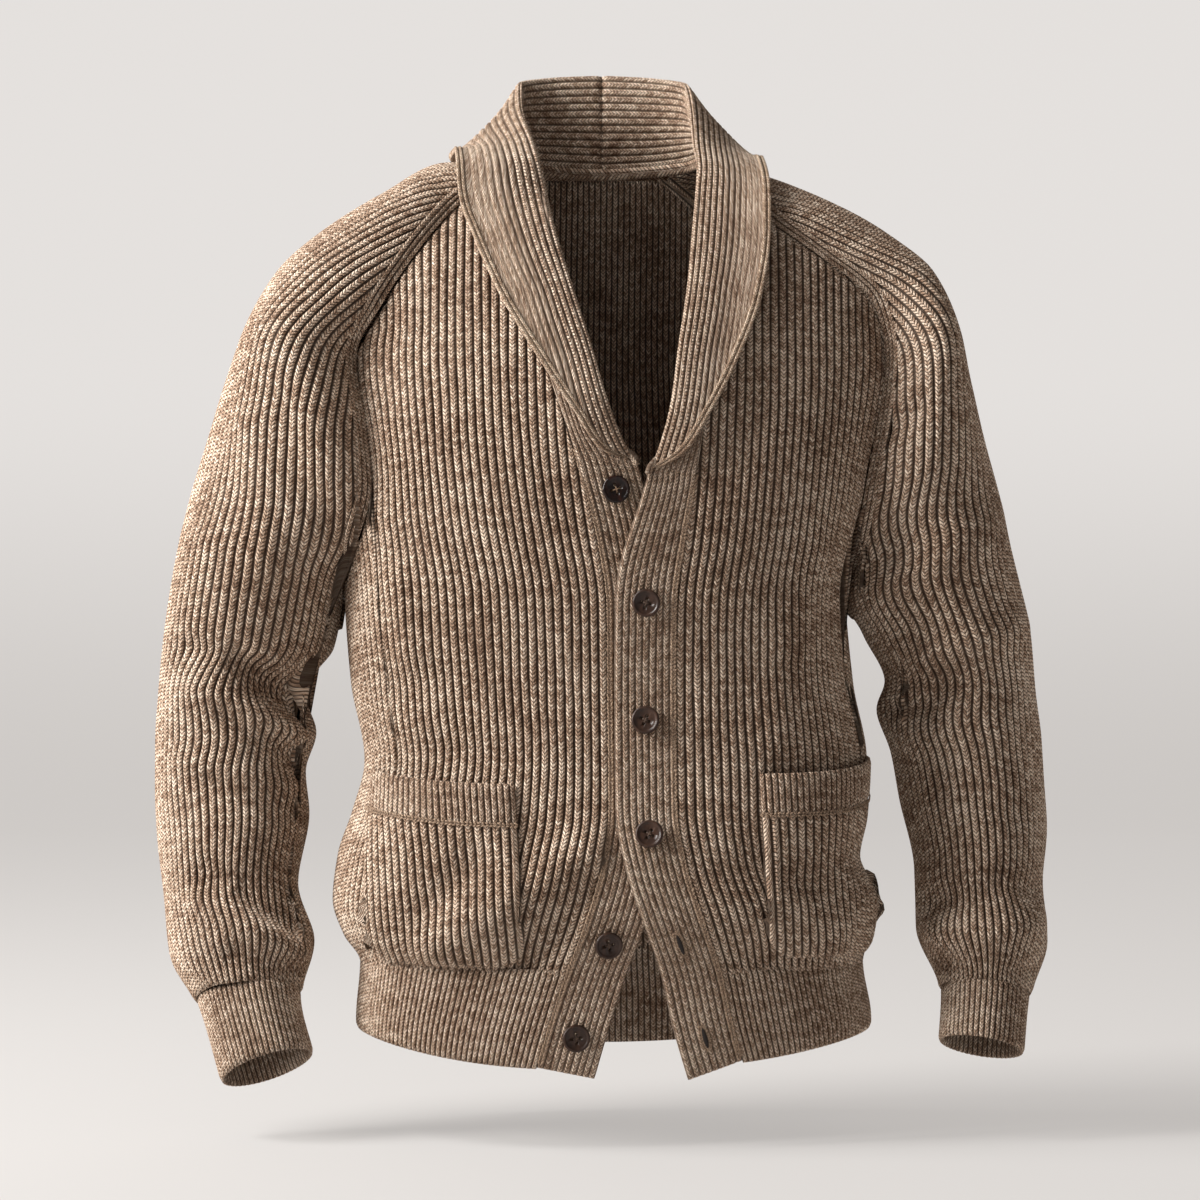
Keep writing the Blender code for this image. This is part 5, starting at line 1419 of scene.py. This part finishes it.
def spun(profile, sides):
    """A closed turned shape from a profile of radius and height, both ends on the axis."""
    work = bmesh.new()
    rings = []
    for r, h in profile:
        if r < 1e-6:
            rings.append([work.verts.new((0, 0, h))])
        else:
            rings.append([work.verts.new((r * math.cos(a), r * math.sin(a), h))
                          for a in np.linspace(0, 2 * math.pi, sides, endpoint=False)])
    for low, high in zip(rings, rings[1:]):
        for s in range(sides):
            after = s + 1
            corner = [low[s % len(low)], low[after % len(low)], high[after % len(high)], high[s % len(high)]]
            work.faces.new(list(dict.fromkeys(corner)))
    bmesh.ops.recalc_face_normals(work, faces=work.faces)
    return work


def as_object(work, name):
    """A smooth-shaded object in the scene from a finished work mesh."""
    mesh = bpy.data.meshes.new(name)
    work.to_mesh(mesh)
    work.free()
    for face in mesh.polygons:
        face.use_smooth = True
    piece = bpy.data.objects.new(name, mesh)
    bpy.context.scene.collection.objects.link(piece)
    return piece


def button_blank():
    """A four-hole button with a rolled rim and a dished middle, its back at height 0."""
    r = BUTTON_RADIUS
    profile = ((0.0, 0.0), (0.72 * r, 0.0), (0.90 * r, 0.0003), (0.985 * r, 0.0009), (r, 0.0017),
               (0.985 * r, 0.0026), (0.93 * r, 0.0032), (0.86 * r, 0.00335), (0.80 * r, 0.0030),
               (0.755 * r, 0.0024), (0.70 * r, 0.00215), (0.35 * r, 0.0019), (0.0, 0.00185))
    blank = as_object(spun(profile, 48), "button_blank")
    cutter = bmesh.new()
    for x in (-1, 1):
        for y in (-1, 1):
            middle = Matrix.Translation((x * BUTTON_HOLE_OUT, y * BUTTON_HOLE_OUT, 0.001))
            bmesh.ops.create_cone(cutter, cap_ends=True, segments=14, radius1=BUTTON_HOLE,
                                  radius2=BUTTON_HOLE, depth=0.008, matrix=middle)
    holes = as_object(cutter, "button_holes")
    cut = blank.modifiers.new("holes", "BOOLEAN")
    cut.object = holes
    cut.operation = "DIFFERENCE"
    cut.solver = "EXACT"
    graph = bpy.context.evaluated_depsgraph_get()
    mesh = bpy.data.meshes.new_from_object(blank.evaluated_get(graph))
    for face in mesh.polygons:
        face.use_smooth = True
    bpy.data.objects.remove(blank)
    bpy.data.objects.remove(holes)
    return mesh


def button_thread():
    """Two passes of sewing thread in a cross over the button's holes."""
    work = bmesh.new()
    for turn in (0.25, 0.75):
        for offset in (-0.00022, 0.00022):
            rings = []
            for u in np.linspace(0, 1, 9):
                s = (u - 0.5) * 2 * BUTTON_HOLE_OUT * math.sqrt(2)
                z = 0.00235 - 0.0018 * abs(2 * u - 1) ** 4
                centre = Vector((s, offset, z))
                ring = [work.verts.new(Matrix.Rotation(turn * math.pi, 3, "Z")
                                       @ (centre + Vector((0, math.cos(a), math.sin(a))) * THREAD))
                        for a in np.linspace(0, 2 * math.pi, 7, endpoint=False)]
                rings.append(ring)
            for low, high in zip(rings, rings[1:]):
                for k in range(7):
                    work.faces.new((low[k], low[(k + 1) % 7], high[(k + 1) % 7], high[k]))
            work.faces.new(rings[0][::-1])
            work.faces.new(rings[-1])
    bmesh.ops.recalc_face_normals(work, faces=work.faces)
    mesh = bpy.data.meshes.new("button_thread")
    work.to_mesh(mesh)
    work.free()
    return mesh


def seat_on_band(side, z, across, spin, tilt):
    """Turns a button's own axes to lie on the band at a height."""
    surface = band_surface[side]

    def at(a, level):
        return Vector(surface.at(np.array(a), np.array(level)).tolist())

    centre = at(across, z)
    over = (at(across + 0.08, z) - at(across - 0.08, z)).normalized()
    up = (at(across, z + 0.006) - at(across, z - 0.006)).normalized()
    out = up.cross(over).normalized()
    if out.y > 0:
        out = -out
    out = (out + Vector((tilt, 0, 0))).normalized()
    over = up.cross(out).normalized()
    up = out.cross(over).normalized()
    turn = Matrix((over, up, out)).transposed().to_4x4()
    return Matrix.Translation(centre + out * BUTTON_CLEAR) @ turn @ Matrix.Rotation(spin, 4, "Z")


# --- Materials --------------------------------------------------------------------------------------

class Nodes:
    """Short hand for wiring a node tree."""

    def __init__(self, tree):
        self.tree = tree

    def add(self, kind, **settings):
        node = self.tree.nodes.new(kind)
        for key, value in settings.items():
            setattr(node, key, value)
        return node

    def link(self, start, end):
        self.tree.links.new(start, end)

    def put(self, socket, value):
        if isinstance(value, bpy.types.NodeSocket):
            self.link(value, socket)
        else:
            socket.default_value = value

    def math(self, operation, *values, clamp=False):
        node = self.add("ShaderNodeMath", operation=operation, use_clamp=clamp)
        for socket, value in zip(node.inputs, values):
            self.put(socket, value)
        return node.outputs[0]

    def spread(self, value, low, high, out_low=0.0, out_high=1.0):
        node = self.add("ShaderNodeMapRange", interpolation_type="SMOOTHSTEP")
        for socket, found in zip(node.inputs, (value, low, high, out_low, out_high)):
            self.put(socket, found)
        return node.outputs[0]

    def vector(self, x, y, z):
        node = self.add("ShaderNodeCombineXYZ")
        for socket, value in zip(node.inputs, (x, y, z)):
            self.put(socket, value)
        return node.outputs[0]

    def noise(self, vector, scale, detail=2.0, roughness=0.5):
        node = self.add("ShaderNodeTexNoise")
        self.put(node.inputs["Vector"], vector)
        node.inputs["Scale"].default_value = scale
        node.inputs["Detail"].default_value = detail
        node.inputs["Roughness"].default_value = roughness
        return node.outputs["Fac"]

    def mix(self, factor, a, b):
        node = self.add("ShaderNodeMix", data_type="RGBA")
        self.put(node.inputs["Factor"], factor)
        self.put(node.inputs["A"], a)
        self.put(node.inputs["B"], b)
        return node.outputs["Result"]


def colour(r, g, b):
    """Display values 0 to 255 as linear colour."""
    linear = [((v / 255 + 0.055) / 1.055) ** 2.4 if v > 10 else v / 255 / 12.92 for v in (r, g, b)]
    return (*linear, 1.0)


BODY_STITCH = 0.0030      # height of one V stitch in the body's rib
TRIM_STITCH = 0.0027
BORDER_STITCH = 0.0026
BORDER_PITCH = 0.0033
TAPE_PITCH = 0.009
KNIT_BUMP = 0.0009


def rib_knit_group():
    """Marled rib knitting from a piece's own map: ribs across, courses of V stitches along, with painted
    shade darkening the grooves, the creased middle of each rib and the spaces between stitches.
    """
    group = bpy.data.node_groups.new("marled_rib_knit", "ShaderNodeTree")
    # the groove inputs set where and how strongly painted shade darkens the grooves
    for name, kind, value in (("Rib width", "Float", RIB_PITCH), ("Stitch height", "Float", BODY_STITCH),
                              ("Seed", "Float", 0.0), ("Groove shade", "Float", 0.85),
                              ("Groove start", "Float", 0.30), ("Slant", "Float", 2.5),
                              ("Light yarn", "Color", colour(246, 224, 202)),
                              ("Mid yarn", "Color", colour(184, 154, 130)),
                              ("Dark yarn", "Color", colour(118, 90, 72))):
        socket = group.interface.new_socket(name=name, in_out="INPUT", socket_type="NodeSocket" + kind)
        socket.default_value = value
    for name, kind in (("Color", "Color"), ("Height", "Float"), ("Roughness", "Float")):
        group.interface.new_socket(name=name, in_out="OUTPUT", socket_type="NodeSocket" + kind)
    n = Nodes(group)
    given = n.add("NodeGroupInput").outputs
    result = n.add("NodeGroupOutput").inputs
    split = n.add("ShaderNodeSeparateXYZ")
    n.link(n.add("ShaderNodeUVMap", uv_map="knit").outputs[0], split.inputs[0])
    rib, along = split.outputs[0], split.outputs[1]
    number = n.math("FLOOR", rib)
    place = n.math("SUBTRACT", n.math("SUBTRACT", rib, number), 0.5)
    away = n.math("ABSOLUTE", place)
    side = n.math("SIGN", place)
    # V stitches: two slanted strands a course, climbing away from the rib's middle
    course = n.math("SUBTRACT", n.math("DIVIDE", along, given["Stitch height"]),
                    n.math("MULTIPLY", away, given["Slant"]))
    course = n.math("ADD", course, n.math("MULTIPLY", number, 0.37))
    stitch = n.math("FLOOR", course)
    phase = n.math("SUBTRACT", course, stitch)
    bulge = n.math("SINE", n.math("MULTIPLY", phase, math.pi))
    over = n.math("DIVIDE", n.math("SUBTRACT", away, 0.17), 0.21)
    leg = n.math("SUBTRACT", 1.0, n.math("MULTIPLY", over, over), clamp=True)
    strand = n.math("MULTIPLY", n.math("POWER", bulge, 0.6), n.math("SQRT", leg))
    # marl: each strand takes its own mix of the yarn's plies, twisted along it
    spot = n.vector(n.math("ADD", number, n.math("MULTIPLY", side, 0.25)), stitch, given["Seed"])
    white = n.add("ShaderNodeTexWhiteNoise", noise_dimensions="3D")
    n.link(spot, white.inputs["Vector"])
    metres = n.vector(n.math("MULTIPLY", rib, given["Rib width"]), along, given["Seed"])
    flecks = n.noise(metres, 1100.0, 1.5, 0.6)
    wound = n.vector(n.math("MULTIPLY", course, 2.2), n.math("MULTIPLY", away, 7.0), number)
    twist = n.noise(wound, 1.0, 1.0, 0.5)
    rows = n.add("ShaderNodeMapping")
    rows.inputs["Scale"].default_value = (0.15, 1.0, 1.0)
    n.link(metres, rows.inputs["Vector"])
    bands = n.noise(rows.outputs[0], 170.0, 3.0, 0.6)
    clouds = n.noise(metres, 18.0, 2.0, 0.5)
    ply = n.math("ADD", n.math("MULTIPLY", white.outputs["Value"], 0.22), n.math("MULTIPLY", flecks, 0.62))
    ply = n.math("ADD", ply, n.math("MULTIPLY", n.math("SUBTRACT", twist, 0.5), 0.40))
    ply = n.math("ADD", ply, n.math("MULTIPLY", n.math("SUBTRACT", bands, 0.5), 0.34))
    ply = n.math("ADD", ply, n.math("MULTIPLY", n.math("SUBTRACT", clouds, 0.5), 0.30))
    tone = n.mix(n.spread(ply, 0.20, 0.42), given["Dark yarn"], given["Mid yarn"])
    tone = n.mix(n.spread(ply, 0.36, 0.60), tone, given["Light yarn"])
    ribbing = n.add("ShaderNodeAttribute", attribute_name="ribbing").outputs["Fac"]
    # painted shade: the grooves between ribs, the gaps between stitch strands and the crease down each rib's
    # middle are darkened towards a deep brown
    groove = n.spread(away, given["Groove start"], n.math("ADD", given["Groove start"], 0.10))
    groove = n.math("MULTIPLY", groove, ribbing)
    painted_gap_shade = n.math("MULTIPLY", n.spread(bulge, 0.88, 0.25), 0.80)
    painted_crease_shade = n.math("MULTIPLY", n.math("MULTIPLY", n.spread(away, 0.06, 0.0), 0.45), ribbing)
    shade = n.math("MULTIPLY", groove, given["Groove shade"])
    shade = n.math("MAXIMUM", n.math("MAXIMUM", painted_gap_shade, painted_crease_shade), shade)
    # mix in the deep brown of the painted shade
    tone = n.mix(shade, tone, colour(36, 24, 18))
    n.link(tone, result["Color"])
    inside = n.math("GREATER_THAN", rib, INSIDE_MAP / 2)
    relief = n.math("MULTIPLY", n.math("MULTIPLY", n.math("SUBTRACT", 1.0, groove), inside), 1.6)
    height = n.math("ADD", n.math("MULTIPLY", strand, 1.1), n.math("MULTIPLY", flecks, 0.22))
    n.link(n.math("ADD", height, relief), result["Height"])
    n.link(n.spread(ply, 0.2, 1.0, 0.97, 0.86), result["Roughness"])
    return group


def new_material(name):
    """A material, its node shorthand and its Principled shader."""
    made = bpy.data.materials.new(name)
    made.use_nodes = True
    return made, Nodes(made.node_tree), made.node_tree.nodes["Principled BSDF"]


def add_bump(n, shader, height, strength, distance):
    bump = n.add("ShaderNodeBump")
    bump.inputs["Strength"].default_value = strength
    bump.inputs["Distance"].default_value = distance
    n.link(height, bump.inputs["Height"])
    n.link(bump.outputs["Normal"], shader.inputs["Normal"])


def knit_material(name, group, pitch, stitch, seed, **values):
    """Marled knitting of one rib and stitch. Other values are the group's inputs, such as how strong the
    painted shade in its grooves is.
    """
    made, n, shader = new_material(name)
    knit = n.add("ShaderNodeGroup", node_tree=group)
    knit.inputs["Rib width"].default_value = pitch
    knit.inputs["Stitch height"].default_value = stitch
    knit.inputs["Seed"].default_value = seed
    for key, value in values.items():
        knit.inputs[key.replace("_", " ").capitalize()].default_value = value
    n.link(knit.outputs["Color"], shader.inputs["Base Color"])
    n.link(knit.outputs["Roughness"], shader.inputs["Roughness"])
    add_bump(n, shader, knit.outputs["Height"], 0.9, KNIT_BUMP)
    shader.inputs["Sheen Weight"].default_value = 0.22
    shader.inputs["Sheen Roughness"].default_value = 0.55
    shader.inputs["Sheen Tint"].default_value = colour(225, 200, 175)
    shader.inputs["Specular IOR Level"].default_value = 0.12
    return made


def horn_material(name, base, streak, rough):
    """Polished horn with fine veins."""
    made, n, shader = new_material(name)
    where = n.add("ShaderNodeTexCoord").outputs["Object"]
    stretched = n.add("ShaderNodeMapping")
    stretched.inputs["Scale"].default_value = (1.0, 1.0, 0.35)
    n.link(where, stretched.inputs["Vector"])
    veins = n.noise(stretched.outputs[0], 240.0, 4.0, 0.6)
    n.link(n.mix(n.spread(veins, 0.42, 0.68), base, streak), shader.inputs["Base Color"])
    n.link(n.spread(n.noise(where, 900.0), 0.3, 0.7, rough - 0.05, rough + 0.08), shader.inputs["Roughness"])
    add_bump(n, shader, n.noise(where, 1500.0), 0.12, 0.0002)
    shader.inputs["Specular IOR Level"].default_value = 0.25
    shader.inputs["Coat Weight"].default_value = 0.12
    shader.inputs["Coat Roughness"].default_value = 0.15
    return made


def yarn_material(name, dark, light):
    """Twisted yarn or thread of two tones."""
    made, n, shader = new_material(name)
    where = n.add("ShaderNodeTexCoord").outputs["Object"]
    twist = n.noise(where, 1500.0, 1.0)
    n.link(n.mix(n.spread(twist, 0.35, 0.65), dark, light), shader.inputs["Base Color"])
    shader.inputs["Roughness"].default_value = 0.8
    add_bump(n, shader, twist, 0.5, 0.0002)
    return made


# --- Making the garment -----------------------------------------------------------------------------

collars = {side: Collar(side) for side in SIGN}
tape = make_neck_tape()
back = make_back(tape)
make_hems()
for side in SIGN:
    front = make_front(side)
    sleeve, strips = make_sleeve(side)
    make_band(side, collars[side])
    make_collar(side, collars[side], [back, front, sleeve] + strips)
    make_pocket(side)

knit = rib_knit_group()
# each knitting's groove value sets how dark the painted shade in its grooves, stitch gaps and rib creases is
materials = {
    "body": knit_material("marled_broad_rib", knit, RIB_PITCH, BODY_STITCH, 1.0, Groove_shade=0.92),
    "trim": knit_material("marled_fine_rib", knit, FINE_PITCH, TRIM_STITCH, 2.0, Groove_shade=0.88),
    "band": knit_material("marled_band_rib", knit, FINE_PITCH, TRIM_STITCH, 6.0, Groove_shade=0.78),
    "collar": knit_material("marled_collar_rib", knit, COLLAR_PITCH, TRIM_STITCH, 3.0, Groove_shade=0.80),
    "border": knit_material("marled_border_chain", knit, BORDER_PITCH, BORDER_STITCH, 5.0, Groove_shade=0.45,
                            Light_yarn=colour(236, 214, 190), Mid_yarn=colour(182, 152, 126),
                            Dark_yarn=colour(112, 86, 68)),
    "tape": knit_material("marled_tape", knit, TAPE_PITCH, BODY_STITCH, 4.0, Groove_shade=0.50),
}
dark_horn = horn_material("dark_horn", colour(46, 30, 22), colour(66, 45, 34), 0.34)
red_horn = horn_material("red_brown_horn", colour(20, 10, 8), colour(46, 22, 15), 0.16)
thread = yarn_material("sewing_thread", colour(96, 72, 54), colour(176, 146, 118))
dark_thread = yarn_material("dark_sewing_thread", colour(52, 38, 30), colour(96, 74, 58))
link_yarn = yarn_material("linking_yarn", colour(88, 66, 50), colour(184, 156, 130))
# dark look of the buttonholes' slits: painted shadow that stands in for the depth of the holes
slit_shade = yarn_material("buttonhole_painted_shadow", colour(26, 18, 14), colour(40, 28, 22))


def knit_of(name, slot):
    """Which knitting a piece is made in."""
    if name.startswith("collar_edge"):
        return materials["border"]
    if name.startswith("collar"):
        return materials["collar"]
    if name.startswith("band"):
        return materials["band"]
    if name == "neck_tape":
        return materials["tape"]
    return materials["body" if slot == "body_knit" else "trim"]


for piece, nodes, slot, flat, held, on, trims in PIECES:
    for part in [piece, *trims]:
        part.data.materials.append(knit_of(part.name, slot))
        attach(part, "root")
    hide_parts(*nodes)

STITCH = stitch_shape()
STITCH_ROW = stitch_row_tree()
sew_bands(link_yarn)
sew_welts(link_yarn)
sew_buttonholes(link_yarn, slit_shade)
bpy.data.objects.remove(STITCH)

blank = button_blank()
stitching = button_thread()
for name, side, z in BUTTONS:
    seat = seat_on_band(side, z, 0.5, 0.2 * len(name) + 3 * z, BUTTON_TILT[side])
    horn, sewn = (red_horn, thread) if name == "button_1" else (dark_horn, dark_thread)
    for suffix, shape, look, slot in (("_turned", blank, horn, "button_horn"),
                                      ("_thread", stitching, sewn, "trim_knit")):
        made = bpy.data.objects.new(name + suffix, shape.copy())
        bpy.context.scene.collection.objects.link(made)
        made.data.transform(seat @ Matrix.Translation((0, 0, BUTTON_SHANK)))
        made.data.materials.clear()
        made.data.materials.append(look)
        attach(made, "root")
        if shape is blank:
            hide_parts(name)

# --- Floor and light --------------------------------------------------------------------------------

FLOOR_Z = -0.748
FLOOR_HALF = 9.0
FLOOR_START = -12.0
WALL_START = 3.6          # the floor starts to curve up into the wall, clear of a camera behind
WALL_CURVE = 1.4
WALL_HEIGHT = 6.0
WALL_FULL = 0.9           # over this height the floor's tone turns into the wall's
BACKDROP_GLOW = 0.74


def make_studio():
    """A pale floor that curves up into a wall, with a little light of its own."""
    run = [(FLOOR_START, 0.0), (WALL_START, 0.0)]
    for angle in np.linspace(0, math.pi / 2, 16)[1:]:
        run.append((WALL_START + WALL_CURVE * math.sin(angle), WALL_CURVE * (1 - math.cos(angle))))
    run.append((WALL_START + WALL_CURVE, WALL_HEIGHT))
    verts = [(x, y, FLOOR_Z + z) for y, z in run for x in (-FLOOR_HALF, FLOOR_HALF)]
    faces = [(2 * i, 2 * i + 1, 2 * i + 3, 2 * i + 2) for i in range(len(run) - 1)]
    mesh = bpy.data.meshes.new("studio_floor")
    mesh.from_pydata(verts, [], faces)
    for face in mesh.polygons:
        face.use_smooth = True
    floor = bpy.data.objects.new("studio_floor", mesh)
    bpy.context.scene.collection.objects.link(floor)
    made, n, shader = new_material("pale_backdrop")
    place = n.add("ShaderNodeSeparateXYZ")
    n.link(n.add("ShaderNodeTexCoord").outputs["Object"], place.inputs[0])
    wall = n.spread(place.outputs[2], FLOOR_Z, FLOOR_Z + WALL_FULL)
    n.link(n.mix(wall, colour(128, 126, 124), colour(90, 89, 88)), shader.inputs["Base Color"])
    shader.inputs["Roughness"].default_value = 0.95
    n.link(n.mix(wall, colour(203, 199, 196), colour(248, 244, 241)), shader.inputs["Emission Color"])
    shader.inputs["Emission Strength"].default_value = BACKDROP_GLOW
    mesh.materials.append(made)


def area_light(name, place, target, size, power, tint=(1.0, 1.0, 1.0)):
    data = bpy.data.lights.new(name, "AREA")
    data.shape = "RECTANGLE"
    data.size, data.size_y = size
    data.energy = power
    data.color = tint
    light = bpy.data.objects.new(name, data)
    light.location = place
    light.rotation_euler = (Vector(target) - Vector(place)).to_track_quat("-Z", "Y").to_euler()
    bpy.context.scene.collection.objects.link(light)


make_studio()
area_light("key", place=(-3.4, -1.2, 0.85), target=(0.0, -0.1, -0.35), size=(1.2, 1.6), power=178.0,
           tint=(1.0, 0.985, 0.96))
area_light("top", place=(-2.0, -0.5, 1.7), target=(0.0, -0.1, -0.2), size=(1.4, 1.2), power=84.0)
world = bpy.data.worlds.new("studio")
bpy.context.scene.world = world
world.use_nodes = True
sky = world.node_tree.nodes["Background"]
sky.inputs["Color"].default_value = colour(232, 229, 226)
sky.inputs["Strength"].default_value = 0.33
bpy.context.scene.view_settings.view_transform = "Standard"
